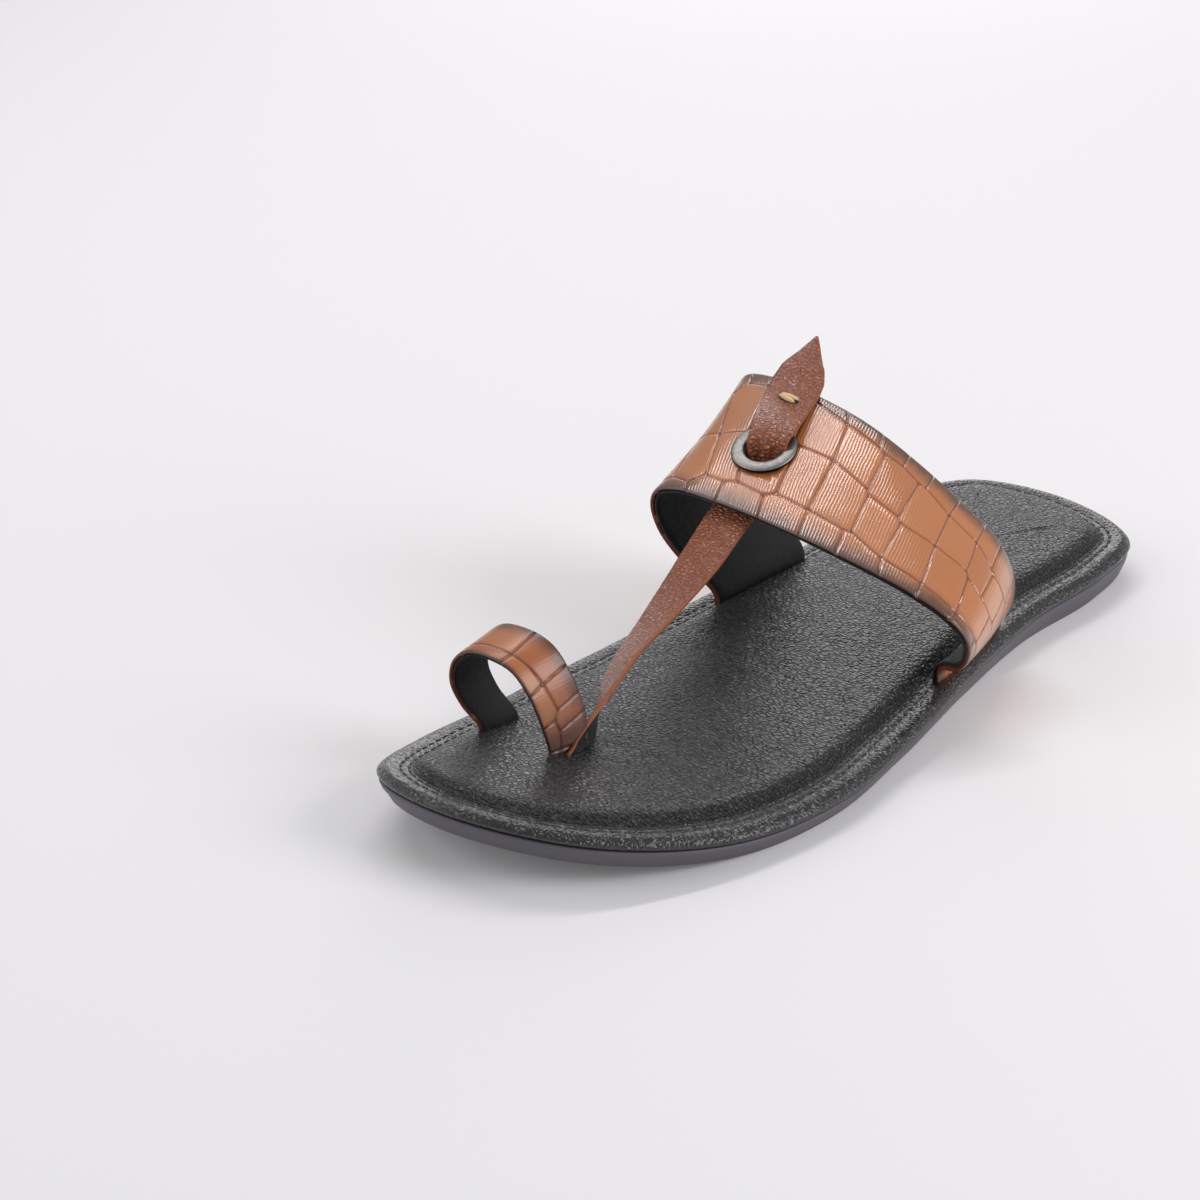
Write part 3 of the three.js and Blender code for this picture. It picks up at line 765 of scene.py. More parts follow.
@dataclass
class Footbed:
    """The leather-wrapped board: a rolled rim, a flat margin and two rows of stitches on it."""

    shape: SoleShape
    stitch_rows: tuple[float, ...] = (5.9, 8.0)
    stitch_pitch: float = 3.6
    stitch_length: float = 2.9
    stitch_width: float = 0.85
    stitch_height: float = 0.68
    stitch_sink: float = -0.1
    stitch_level: float = 0.88
    # How far in from the outline, and at what share of the rim's thickness.
    profile: tuple[tuple[float, float], ...] = (
        (1.3, 0.0), (0.5, 0.05), (0.1, 0.14), (0.0, 0.27), (0.1, 0.4), (0.36, 0.51), (0.8, 0.65), (1.3, 0.79),
        (1.8, 0.89), (2.5, 0.97), (3.3, 1.0), (4.2, 0.99), (5.2, 0.92), (5.9, 0.84), (6.4, 0.89), (7.0, 0.92),
        (7.5, 0.89), (8.0, 0.84), (8.5, 0.9), (9.0, 0.94), (13.0, 0.94),
    )

    def level(self, share: float) -> Height:
        """Returns the height function at that share of the rim's thickness."""
        shape = self.shape
        return lambda y: shape.outsole_top(y) + shape.gap + shape.rim_thickness * share

    def build(self) -> list[Object]:
        """Builds the board and its stitches.

        Returns:
            The pieces.
        """
        bm = loft([self.shape.ring(inset, self.level(share)) for inset, share in self.profile])
        board = finish_piece(bm, "footbed_board", [RIM_LEATHER.material()], "footbed")
        return [board, self.stitches()]

    def stitches(self) -> Object:
        """Lays a short capsule of thread for each stitch of both rows.

        Returns:
            The piece.
        """
        bm = bmesh.new()
        for inset in self.stitch_rows:
            line = self.shape.ring(inset, self.level(self.stitch_level))
            line.append(line[0])
            count = int(along(line)[-1] / self.stitch_pitch)
            places = evenly(line, count)
            for here, after in zip(places, places[1:]):
                heading = (after - here).normalized()
                centre = (here + after) / 2
                made = bmesh.ops.create_uvsphere(bm, u_segments=8, v_segments=6, radius=0.5)
                turn = heading.to_track_quat("X", "Z").to_matrix().to_4x4()
                size = Matrix.Diagonal((self.stitch_length, self.stitch_width, self.stitch_height, 1))
                place = Matrix.Translation(centre + Vector((0, 0, self.stitch_sink)))
                bmesh.ops.transform(bm, matrix=place @ turn @ size, verts=made["verts"])
        return finish_piece(bm, "margin_stitches", [BLACK_THREAD.material()])


@dataclass
class Insole:
    """The padded insole, soft at its edge and slightly crowned."""

    shape: SoleShape
    edge_profile: tuple[tuple[float, float], ...] = (
        (8.8, -0.12), (8.9, 0.02), (9.3, 0.07), (9.8, 0.2), (10.4, 0.38), (11.0, 0.55), (11.7, 0.7),
        (12.7, 0.82), (14.4, 0.9), (17.0, 0.955), (20.5, 0.99), (24.0, 1.0),
    )
    crown_rings: tuple[float, ...] = (0.12, 0.25, 0.4, 0.55, 0.7, 0.84, 0.93, 1.0)
    crown_power: float = 0.8
    fill: float = 0.8
    seat: float = 0.05  # how far off the margin its edge stands

    def height(self, share: float, crown: float = 0.0) -> Height:
        """Returns the height function of a ring.

        Args:
            share: the share of the pad's thickness.
            crown: the share of the crown's height.

        Returns:
            The height at each y.
        """
        shape = self.shape
        return lambda y: (
            lerp(shape.margin_top(y) + self.seat, shape.pad_top(y), share) + shape.pad_crown * crown
        )

    def build(self) -> Object:
        """Builds and dresses the pad.

        Returns:
            The piece that stands for the CAD insole.
        """
        shape = self.shape
        rings = [shape.ring(inset, self.height(share)) for inset, share in self.edge_profile]
        last = rings[-1]
        for share in self.crown_rings:
            crown = math.sin(share * math.pi / 2) ** self.crown_power
            rings.append(shape.shrunk(last, share, self.height(1.0, crown)))
        bm = loft(rings, folded=True)
        pad = finish_piece(bm, "insole_pad", [INSOLE_LEATHER.material()], "insole")
        return pad


# The straps.


@dataclass(frozen=True)
class StrapEdge:
    """One edge of an arched strap, as shares of its own sizes."""

    centre: float
    half: float
    height: float
    foot_y: float
    lean: float
    # Places across, up and forwards, each a share of half the width, the height and the lean.
    rows: tuple[tuple[float, float, float], ...]
    root_depth: float = 4.7
    fineness: int = 40

    def line(self, shape: SoleShape, steps: int) -> list[Vector]:
        """Draws the edge from root to root.

        Args:
            shape: the sole that it stands on.
            steps: the number of equal steps.

        Returns:
            One more point than there are steps.
        """
        floor = shape.pad_top(self.foot_y)
        foot = Vector((self.centre, self.foot_y, floor))
        points = [
            foot + Vector((across * self.half, lean * self.lean, up * self.height))
            for across, up, lean in self.rows
        ]
        drop = Vector((0, 0, self.root_depth))
        points = [points[0] - drop, *points, points[-1] - drop]
        return evenly(SmoothLine(tuple(points)).dense(self.fineness), steps)


@dataclass
class StrapSurface:
    """The surface between two edges, bulging by its crown, with places given in millimetres."""

    front: list[Vector]
    rear: list[Vector]
    crown: float
    length: float = 0.0
    width: float = 0.0

    def __post_init__(self) -> None:
        """Measures the strap, as the flat pattern that its maker would cut."""
        self.length = (along(self.front)[-1] + along(self.rear)[-1]) / 2
        spans = [(a - b).length for a, b in zip(self.front, self.rear)]
        self.width = sum(spans) / len(spans)

    def chord(self, around: float, across: float) -> Vector:
        """Gives a point between the edges, without the crown.

        Args:
            around: the share along the strap.
            across: the share across it, from front to rear.

        Returns:
            The point.
        """
        place = clamp(around) * (len(self.front) - 1)
        start = min(int(place), len(self.front) - 2)
        share = place - start
        front = self.front[start].lerp(self.front[start + 1], share)
        rear = self.rear[start].lerp(self.rear[start + 1], share)
        return front + (rear - front) * across

    def bulge(self, across: float) -> float:
        """Returns how far the crown lifts the face at that share across."""
        return self.crown * math.sin(math.pi * clamp(across))

    def normal(self, around: float, across: float, step: float = 0.012) -> Vector:
        """Gives the direction straight out of the strap's face.

        Args:
            around: the share along the strap.
            across: the share across it.
            step: how far to each side it is measured, as a share of the length.

        Returns:
            The direction, of length one.
        """
        sideways = self.chord(around + step, across) - self.chord(around - step, across)
        heelward = self.chord(around, 1.0) - self.chord(around, 0.0)
        return sideways.cross(heelward).normalized()

    def point(self, flat: Vector) -> Vector:
        """Carries a point of the flat pattern onto the arched strap.

        Args:
            flat: millimetres along the strap, across it, and above its face.

        Returns:
            The point in the sandal's frame.
        """
        around, across = flat.x / self.length, flat.y / self.width
        return self.chord(around, across) + self.normal(around, across) * (self.bulge(across) + flat.z)


def strap_surface(
    front: StrapEdge, rear: StrapEdge, crown: float, shape: SoleShape, steps: int = 260
) -> StrapSurface:
    """Spans the surface between two edges.

    Args:
        front: the edge at the toe's side.
        rear: the edge at the heel's side.
        crown: how far it bulges.
        shape: the sole.
        steps: the number of steps along each edge.

    Returns:
        The surface.
    """
    return StrapSurface(front.line(shape, steps), rear.line(shape, steps), crown)


@dataclass(frozen=True)
class ScaleRow:
    """A row of embossed scales across the strap, counted from its front edge.

    The creases are pairs of shares along the strap, at the row's front and at its rear. The rear border
    is pairs of a share along the strap and the share across it at which the row ends there.
    """

    creases: tuple[tuple[float, float], ...]
    border: tuple[tuple[float, float], ...] = ()

    def ends_at(self, around: float) -> float:
        """Finds where the row ends.

        Args:
            around: the share along the strap.

        Returns:
            The share across the strap.
        """
        first = self.border[0]
        for second in self.border[1:]:
            if around <= second[0]:
                return lerp(first[1], second[1], clamp((around - first[0]) / (second[0] - first[0])))
            first = second
        return first[1]


@dataclass(frozen=True)
class Emboss:
    """The embossing plate: how wide and deep its creases are and how the scales swell."""

    crease_width: float = 0.32
    crease_depth: float = 0.42
    shoulder: float = 0.4
    shoulder_drop: float = 0.07
    corner_cut: float = 0.8
    junction_pull: float = 0.45
    junction_merge: float = 1.7
    smallest_scale: float = 2.5  # in square millimetres
    cut_along: float = 1.3
    cut_across: float = 2.2
    front_burnish: float = 9.0
    rear_burnish: float = 9.5
    foot_burnish: float = 0.3
    foot_reach: float = 20.0


@dataclass
class EmbossedStrap:
    """A strap with a reptile pattern: it is creased as a flat pattern and then arched."""

    name: str
    surface: StrapSurface
    rows: tuple[ScaleRow, ...]
    emboss: Emboss
    leather_thickness: float
    lining_thickness: float
    hole_centre: Vector | None = None
    hole_radius: float = 0.0
    hole_reach: float = 1.6  # how far out, in radii, the hole's ragged edge is rounded
    hole_ease: float = 1.06
    lining_inset: float = 1.2
    lining_grid: tuple[int, int] = (150, 18)

    def blank(self) -> BMesh:
        """Cuts the flat strap into rows of equal width, and each row into its scales.

        Returns:
            The flat pattern, with one face for each scale.
        """
        length, width = self.surface.length, self.surface.width
        step = width / len(self.rows)
        bm = bmesh.new()
        bmesh.ops.create_grid(bm, x_segments=1, y_segments=1, size=0.5)
        bmesh.ops.scale(bm, vec=(length, width, 1), verts=bm.verts)
        bmesh.ops.translate(bm, vec=(length / 2, width / 2, 0), verts=bm.verts)
        for number in range(1, len(self.rows)):
            bmesh.ops.bisect_plane(
                bm, geom=everything(bm), plane_co=(0, step * number, 0), plane_no=(0, 1, 0)
            )
        for number, row in enumerate(self.rows):
            for front, rear in row.creases:
                faces = [f for f in bm.faces if int(f.calc_center_median().y / step) == number]
                geom = {*faces, *(e for f in faces for e in f.edges), *(v for f in faces for v in f.verts)}
                bmesh.ops.bisect_plane(
                    bm, geom=list(geom), plane_co=(front * length, step * number, 0),
                    plane_no=(step, (front - rear) * length, 0),
                )
        return bm

    def bend_borders(self, bm: BMesh) -> None:
        """Moves the borders between the rows to where they belong and pulls them at each crease.

        Args:
            bm: the flat pattern.
        """
        length, width, emboss = self.surface.length, self.surface.width, self.emboss
        step = width / len(self.rows)
        pulled: dict[BMVert, float] = {}
        for vert in bm.verts:
            ends = [e.other_vert(vert).co.y - vert.co.y for e in vert.link_edges]
            leaving = [d for d in ends if abs(d) > step / 2]
            if len(ends) == 3 and len(leaving) == 1:
                pulled[vert] = math.copysign(emboss.junction_pull, leaving[0])
        for vert in bm.verts:
            number = round(vert.co.y / step)
            if 0 < number < len(self.rows):
                vert.co.y = width * self.rows[number - 1].ends_at(vert.co.x / length) + pulled.get(vert, 0.0)

    def pattern(self) -> BMesh:
        """Embosses the whole flat strap.

        Returns:
            The flat pattern, with a "tone" number on each face.
        """
        emboss = self.emboss
        length, width = self.surface.length, self.surface.width
        bm = self.blank()
        self.bend_borders(bm)
        bmesh.ops.remove_doubles(bm, verts=bm.verts, dist=emboss.junction_merge)
        inner = [
            v for v in bm.verts
            if 0.01 < v.co.y < width - 0.01 and 0.01 < v.co.x < length - 0.01 and len(v.link_edges) > 2
        ]
        bmesh.ops.bevel(
            bm, geom=inner, offset=emboss.corner_cut, offset_type="OFFSET", segments=1, profile=0.5,
            affect="VERTICES", material=-1,
        )
        tone = bm.faces.layers.float.new("tone")
        scales = [f for f in bm.faces if f.calc_area() > emboss.smallest_scale]
        for number, face in enumerate(scales):
            face[tone] = (number * 0.618) % 1.0
        valley = list(bm.verts)
        bmesh.ops.inset_individual(bm, faces=scales, thickness=emboss.crease_width, use_even_offset=True)
        for vert in bm.verts:
            vert.co.z = -emboss.shoulder_drop
        for vert in valley:
            vert.co.z = -emboss.crease_depth
        bmesh.ops.inset_individual(
            bm, faces=scales, thickness=emboss.shoulder, depth=emboss.shoulder_drop, use_even_offset=True
        )
        for vert in bm.verts:
            vert.co.x, vert.co.y = clamp(vert.co.x, 0, length), clamp(vert.co.y, 0, width)
        self.slice(bm)
        return bm

    def slice(self, bm: BMesh) -> None:
        """Cuts a flat pattern into narrow strips, so that it can follow the arch.

        Args:
            bm: the flat pattern.
        """
        length, width, emboss = self.surface.length, self.surface.width, self.emboss
        for size, step, axis in (
            (length, emboss.cut_along, Vector((1, 0, 0))),
            (width, emboss.cut_across, Vector((0, 1, 0))),
        ):
            count = round(size / step)
            for n in range(1, count):
                cut = axis * (size * n / count)
                bmesh.ops.bisect_plane(bm, geom=everything(bm), plane_co=cut, plane_no=axis)

    def pierce(self, bm: BMesh) -> None:
        """Opens the hole for the eyelet.

        Args:
            bm: the flat pattern.
        """
        if self.hole_centre is None:
            return
        centre = self.hole_centre
        inside = {v for v in bm.verts if (v.co.xy - centre.xy).length < self.hole_radius}
        gone = [f for f in bm.faces if any(v in inside for v in f.verts)]
        bmesh.ops.delete(bm, geom=gone, context="FACES")
        for vert in {v for e in bm.edges if e.is_boundary for v in e.verts}:
            spoke = vert.co.xy - centre.xy
            if spoke.length < self.hole_radius * self.hole_reach:
                spoke = spoke.normalized() * self.hole_radius * self.hole_ease
                vert.co.x, vert.co.y = centre.x + spoke.x, centre.y + spoke.y

    def dress(self, bm: BMesh) -> None:
        """Writes the flat place of each corner to the UV map, and its tone, its depth in a crease, which sets
        the painted shade there, and its burnish.

        Args:
            bm: the flat pattern.
        """
        tone = bm.faces.layers.float["tone"]
        uv = bm.loops.layers.uv.new("UVMap")
        tone_shade_burnish = bm.loops.layers.float_color.new("tone_shade_burnish")
        length, width, emboss = self.surface.length, self.surface.width, self.emboss
        for face in bm.faces:
            for corner in face.loops:
                place = corner.vert.co
                corner[uv].uv = (place.x, place.y)
                # How deep in a crease the corner lies, for the painted shade.
                depth = clamp(-place.z / emboss.crease_depth)
                front = 1 - place.y / emboss.front_burnish
                rear = 1 - (width - place.y) / emboss.rear_burnish
                foot = emboss.foot_burnish * (1 - min(place.x, length - place.x) / emboss.foot_reach)
                burnish = clamp(max(front, rear, foot))
                corner[tone_shade_burnish] = (face[tone], depth, burnish, 1.0)

    def arch(self, bm: BMesh) -> None:
        """Carries every vertex of a flat pattern onto the arched strap, faces outwards."""
        for vert in bm.verts:
            vert.co = self.surface.point(vert.co)
        bm.normal_update()

    def build(self, materials: Sequence[Material]) -> list[Object]:
        """Builds the leather and its lining.

        Args:
            materials: the face, the lining and the cut edge.

        Returns:
            The two pieces.
        """
        bm = self.pattern()
        self.pierce(bm)
        self.dress(bm)
        self.arch(bm)
        leather = finish_piece(bm, f"{self.name}_leather", materials, "upper")
        thicken(leather, self.leather_thickness)

        bm = bmesh.new()
        around, across = self.lining_grid
        bmesh.ops.create_grid(bm, x_segments=around, y_segments=across, size=0.5)
        length, width = self.surface.length, self.surface.width
        bmesh.ops.scale(bm, vec=(length, width - self.lining_inset, 1), verts=bm.verts)
        bmesh.ops.translate(bm, vec=(length / 2, width / 2, -self.leather_thickness), verts=bm.verts)
        self.pierce(bm)
        self.arch(bm)
        under = finish_piece(bm, f"{self.name}_lining", [materials[1]] * 3, "upper")
        thicken(under, self.lining_thickness)
        return [leather, under]


def thicken(piece: Object, thickness: float) -> None:
    """Gives a sheet its thickness, inwards, with its back and rim in slots of their own.

    Args:
        piece: the sheet.
        thickness: in millimetres.
    """
    solid = piece.modifiers.new("thickness", "SOLIDIFY")
    solid.thickness = thickness * MM
    solid.offset = -1.0
    solid.material_offset = Layer.BACK.value
    solid.material_offset_rim = Layer.CUT_EDGE.value
    solid.use_even_offset = False


@dataclass
class InstepBand:
    """The broad band over the instep."""

    shape: SoleShape
    wall: float = 2.2
    crown: float = 1.2
    front: StrapEdge = StrapEdge(
        5, 51.5, 38, 10, -17,
        (
            (-0.76, 0.0, 0.0), (-0.91, 0.26, 0.3), (-0.985, 0.52, 0.62), (-0.985, 0.78, 0.86),
            (-0.92, 0.93, 0.96), (-0.77, 1.0, 1.0), (-0.52, 1.0, 1.0), (-0.22, 0.97, 1.0),
            (0.28, 0.88, 0.98), (0.72, 0.74, 0.86), (0.93, 0.6, 0.72), (1.0, 0.42, 0.5),
            (0.95, 0.2, 0.26), (0.84, 0.055, 0.06), (0.73, 0.0, 0.0),
        ),
    )
    rear: StrapEdge = StrapEdge(
        -0.5, 47.5, 57, 51, -13,
        (
            (-0.71, 0.0, 0.0), (-0.92, 0.26, 0.3), (-1.04, 0.6, 0.62), (-1.03, 0.86, 0.88),
            (-0.94, 0.97, 0.98), (-0.74, 1.0, 1.0), (-0.4, 0.965, 1.0), (-0.05, 0.895, 1.0),
            (0.32, 0.76, 0.98), (0.63, 0.605, 0.9), (0.83, 0.48, 0.8), (0.92, 0.32, 0.6),
            (0.9, 0.17, 0.34), (0.83, 0.05, 0.08), (0.76, 0.0, 0.0),
        ),
    )
    seat: tuple[float, float] = (0.428, 0.44)  # the eyelet's place round and across the band
    hole_radius: float = 6.6
    rows: tuple[ScaleRow, ...] = (
        ScaleRow(
            (
                (0.055, 0.055), (0.12, 0.118), (0.19, 0.188), (0.255, 0.258), (0.322, 0.32), (0.378, 0.381),
                (0.457, 0.453), (0.53, 0.53), (0.596, 0.594), (0.67, 0.664), (0.733, 0.73),
                (0.792, 0.794), (0.852, 0.85), (0.91, 0.912), (0.965, 0.963),
            ),
            (
                (0.0, 0.12), (0.1, 0.09), (0.2, 0.13), (0.33, 0.075), (0.35, 0.145), (0.4, 0.16),
                (0.455, 0.165), (0.48, 0.2), (0.53, 0.2), (0.6, 0.185), (0.65, 0.15), (0.68, 0.115),
                (0.73, 0.105), (0.79, 0.07), (0.85, 0.09), (1.0, 0.14),
            ),
        ),
        ScaleRow(
            (
                (0.03, 0.034), (0.09, 0.092), (0.155, 0.15), (0.22, 0.218), (0.286, 0.282), (0.348, 0.345),
                (0.403, 0.399), (0.471, 0.475), (0.535, 0.537), (0.606, 0.608), (0.668, 0.67),
                (0.733, 0.729), (0.796, 0.79), (0.858, 0.853), (0.92, 0.918), (0.975, 0.972),
            ),
            (
                (0.0, 0.5), (0.1, 0.46), (0.2, 0.52), (0.3, 0.465), (0.345, 0.47), (0.38, 0.505),
                (0.43, 0.55), (0.48, 0.59), (0.533, 0.61), (0.545, 0.52), (0.6, 0.53), (0.61, 0.5),
                (0.655, 0.49), (0.67, 0.45), (0.725, 0.455), (0.737, 0.48), (0.785, 0.44), (0.8, 0.37),
                (0.83, 0.35), (0.9, 0.41), (1.0, 0.45),
            ),
        ),
        ScaleRow(
            (
                (0.045, 0.04), (0.105, 0.108), (0.165, 0.162), (0.225, 0.228), (0.282, 0.28), (0.338, 0.336),
                (0.392, 0.392), (0.466, 0.468), (0.537, 0.534), (0.603, 0.606), (0.663, 0.67),
                (0.727, 0.73), (0.785, 0.783), (0.82, 0.824), (0.87, 0.866), (0.93, 0.934),
            ),
            (
                (0.0, 0.8), (0.1, 0.85), (0.2, 0.82), (0.34, 0.85), (0.36, 0.9), (0.4, 0.92), (0.47, 0.955),
                (0.525, 0.955), (0.54, 0.875), (0.6, 0.872), (0.65, 0.86), (0.67, 0.85), (0.7, 0.82),
                (0.74, 0.785), (0.785, 0.77), (0.81, 0.68), (0.83, 0.65), (0.9, 0.71), (1.0, 0.76),
            ),
        ),
        ScaleRow(
            (
                (0.06, 0.064), (0.13, 0.127), (0.19, 0.192), (0.25, 0.25), (0.31, 0.313), (0.357, 0.355),
                (0.398, 0.395), (0.455, 0.455), (0.533, 0.524), (0.592, 0.59), (0.637, 0.64),
                (0.682, 0.686), (0.734, 0.736), (0.785, 0.785), (0.818, 0.822), (0.88, 0.878), (0.945, 0.95),
            ),
        ),
    )

    def surface(self) -> StrapSurface:
        """Returns the band's outer surface."""
        return strap_surface(self.front, self.rear, self.crown, self.shape)

    def build(self, materials: Sequence[Material]) -> list[Object]:
        """Builds the band, pierced for the eyelet.

        Args:
            materials: the face, the lining and the cut edge.

        Returns:
            Its leather and its lining.
        """
        surface = self.surface()
        strap = EmbossedStrap(
            "band", surface, self.rows, Emboss(), leather_thickness=1.5, lining_thickness=0.7,
            hole_centre=Vector((self.seat[0] * surface.length, self.seat[1] * surface.width, 0)),
            hole_radius=self.hole_radius,
        )
        return strap.build(materials)


TOE_LOOP_ROWS = (
    (-0.55, 0.0, 0.0), (-0.85, 0.2, 0.2), (-1.0, 0.46, 0.5), (-0.86, 0.76, 0.8), (-0.5, 0.96, 1.0),
    (0.0, 1.0, 1.0), (0.42, 0.92, 0.9), (0.72, 0.68, 0.7), (0.88, 0.38, 0.4), (0.97, 0.0, 0.0),
)


@dataclass
class ToeLoop:
    """The loop for the big toe."""

    shape: SoleShape
    emboss: Emboss = Emboss(
        corner_cut=0.6, front_burnish=1.6, rear_burnish=6.5, foot_burnish=1.35, foot_reach=25.0
    )
    front: StrapEdge = StrapEdge(-19.5, 16.5, 25, -95, -5, TOE_LOOP_ROWS)
    rear: StrapEdge = StrapEdge(-18.3, 17.9, 29.6, -81, -5, (*TOE_LOOP_ROWS[:-1], (0.97, 0.0, 0.5)))
    rows: tuple[ScaleRow, ...] = (
        ScaleRow(
            (
                (0.1, 0.1), (0.245, 0.24), (0.4, 0.405), (0.577, 0.575), (0.722, 0.706), (0.838, 0.828),
                (0.925, 0.925),
            ),
            (
                (0.0, 0.34), (0.2, 0.36), (0.4, 0.3), (0.69, 0.31), (0.712, 0.42), (0.79, 0.42), (0.81, 0.35),
                (0.84, 0.31), (1.0, 0.32),
            ),
        ),
        ScaleRow(
            (
                (0.07, 0.07), (0.205, 0.2), (0.385, 0.38), (0.572, 0.556), (0.706, 0.686), (0.8, 0.772),
                (0.866, 0.83), (0.94, 0.92),
            ),
        ),
    )

    def build(self, materials: Sequence[Material]) -> list[Object]:
        """Builds the loop.

        Args:
            materials: the face, the lining and the cut edge.

        Returns:
            Its leather and its lining.
        """
        surface = strap_surface(self.front, self.rear, 0.0, self.shape)
        strap = EmbossedStrap(
            "toe_loop", surface, self.rows, self.emboss, leather_thickness=1.2, lining_thickness=0.6
        )
        return strap.build(materials)


@dataclass(frozen=True)
class StrapFrame:
    """A place on the thong with the direction across it and its width."""

    place: Vector
    across: Vector
    width: float
    normal: Vector = field(default_factory=Vector)


@dataclass
class Thong:
    """The narrow strap from beside the toe loop, under the band, up through the eyelet to its tip."""

    shape: SoleShape
    band: InstepBand
    thickness: float = 1.7
    pared: float = 0.75  # the share of the thickness left at the pared edges
    root: tuple[float, float] = (-3.0, -90.0)
    root_width: float = 6.4
    root_shift: tuple[float, float] = (2.2, 3.2)  # outwards, against the loop's foot, and heelwards
    root_heading: tuple[float, float, float] = (0.08, -0.997, 0.0)
    root_depth: float = 4.7
    swing: float = 5.0
    tip_length: float = 15.6
    shoulder_width: float = 15.0
    tack_depth: float = 0.35
    hole_radius: float = 5.6
    eyelet_radius: float = 9.2
    clearance: float = 0.32
    flange: float = 1.1
    washer_share: float = 0.55
    steps: int = 220
    # How far along, how wide, how twisted in degrees, and how far to the big toe's side of the straight
    # line and above it.
    rise: tuple[tuple[float, float, float, float, float], ...] = (
        (0.3, 10.0, -32, 2.4, 2.6), (0.55, 11.3, -16, 1.6, 1.0), (0.8, 12.8, -2, 0.4, 0.2),
        (1.0, 13.6, 0, 0, 0),
    )
    crease_depth: float = 0.6  # the folds that the strap takes as the hole gathers it
    crease_reach: float = 6.0
    crease_count: float = 2.5
    swell: float = 0.35
    sink: float = 0.2
    columns: int = 24
    frames: list[StrapFrame] = field(default_factory=list)
    tack_share: float = 0.0
    hole_share: float = 0.0

    def seat(self) -> tuple[Vector, Vector, Vector, Vector]:
        """Finds the eyelet's seat on the band.

        Returns:
            Its place, then the directions out of the band, towards the heel and sideways.
        """
        surface = self.band.surface()
        around, across = self.band.seat
        place = surface.point(Vector((around * surface.length, across * surface.width, 0)))
        heelward = (surface.chord(around, 1) - surface.chord(around, 0)).normalized()
        normal = surface.normal(around, across)
        return place, normal, heelward, heelward.cross(normal).normalized()

    def route(self) -> list[StrapFrame]:
        """Works out the thong's path from its root to its tip.

        Returns:
            The frames that it passes through.
        """
        surface = self.band.surface()
        around, across = self.band.seat
        place, normal, heelward, sideways = self.seat()
        span = (surface.chord(around, 1) - surface.chord(around, 0)).length

        def near(forward: float, lift: float, side: float = 0.0) -> Vector:
            """Finds a place near the eyelet.

            Args:
                forward: how far towards the heel.
                lift: how far out of the band.
                side: how far aside.

            Returns:
                The place.
            """
            up = lift + surface.bulge(across + forward / span) - surface.bulge(across)
            return place + heelward * forward + normal * up + sideways * side

        washer = self.flange * self.washer_share
        under = -self.band.wall - self.clearance * 3 - washer - self.thickness / 2
        over = self.clearance * 2 + self.flange + self.thickness / 2
        front = near(-span * across, under - 0.6, -self.swing)
        x, y = self.root[0] + self.root_shift[0], self.root[1] + self.root_shift[1]
        root = Vector((x, y, self.shape.pad_top(self.root[1])))
        heading = (front - root).normalized()
        flat = (Vector((1, 0, 0)) - heading * heading.x).normalized()
        made = [
            StrapFrame(root + heading * run, Vector(self.root_heading), self.root_width)
            for run in (-self.root_depth, 0.5)
        ]
        for run, width, twist, aside, above in self.rise:
            spot = root.lerp(front, run) + Vector((-aside, 0, above))
            turned = Matrix.Rotation(math.radians(twist), 3, heading) @ flat
            made.append(StrapFrame(spot, turned, width))
        hole, ring, wide = self.hole_radius, self.eyelet_radius, self.shoulder_width
        edge, tip = span * (1 - across), self.tip_length
        # How far towards the heel, how far out of the band, how wide and how far aside.
        for forward, lift, width, side in (
            (-hole * 1.7, under - 0.5, 13, -self.swing * 0.3), (-hole * 0.45, under + 0.3, 10.4, 0),
            (-hole * 0.04, -self.band.wall * 0.5, 10.8, 0.1), (hole * 0.36, over - 0.3, 11.8, 1.0),
            (ring * 0.8, over + 0.5, 13.5, 1.6), (ring * 1.25, over, 14.3, 1.5),
            (edge * 0.8, self.thickness * 0.5 - self.tack_depth, wide, 1.5),
            (edge, self.thickness * 0.6, wide, 1.6), (edge + tip * 0.3, 1.7, wide * 0.84, 1.8),
            (edge + tip * 0.62, 2.5, wide * 0.46, 2.4), (edge + tip, 3.4, 1, 2.9),
        ):
            made.append(StrapFrame(near(forward, lift, side), sideways.copy(), width))
        return made

    def smooth(self) -> None:
        """Fills self.frames with frames at equal steps along a smooth line through the route."""
        route = self.route()
        line = SmoothLine(tuple(f.place for f in route))
        marks = line.stations()
        places = evenly(line.dense(), self.steps)
        self.tack_share = lerp(marks[-5], marks[-6], 0.35)
        self.hole_share = marks[-9]
        for n, place in enumerate(places):
            share = n / self.steps
            k = max(i for i, mark in enumerate(marks[:-1]) if mark <= share + 1e-9)
            mix = clamp((share - marks[k]) / (marks[k + 1] - marks[k]))
            before, after = places[max(n - 1, 0)], places[min(n + 1, self.steps)]
            tangent = (after - before).normalized()
            across = route[k].across.lerp(route[k + 1].across, mix)
            across = (across - tangent * across.dot(tangent)).normalized()
            width = lerp(route[k].width, route[k + 1].width, mix)
            self.frames.append(StrapFrame(place, across, width, across.cross(tangent).normalized()))

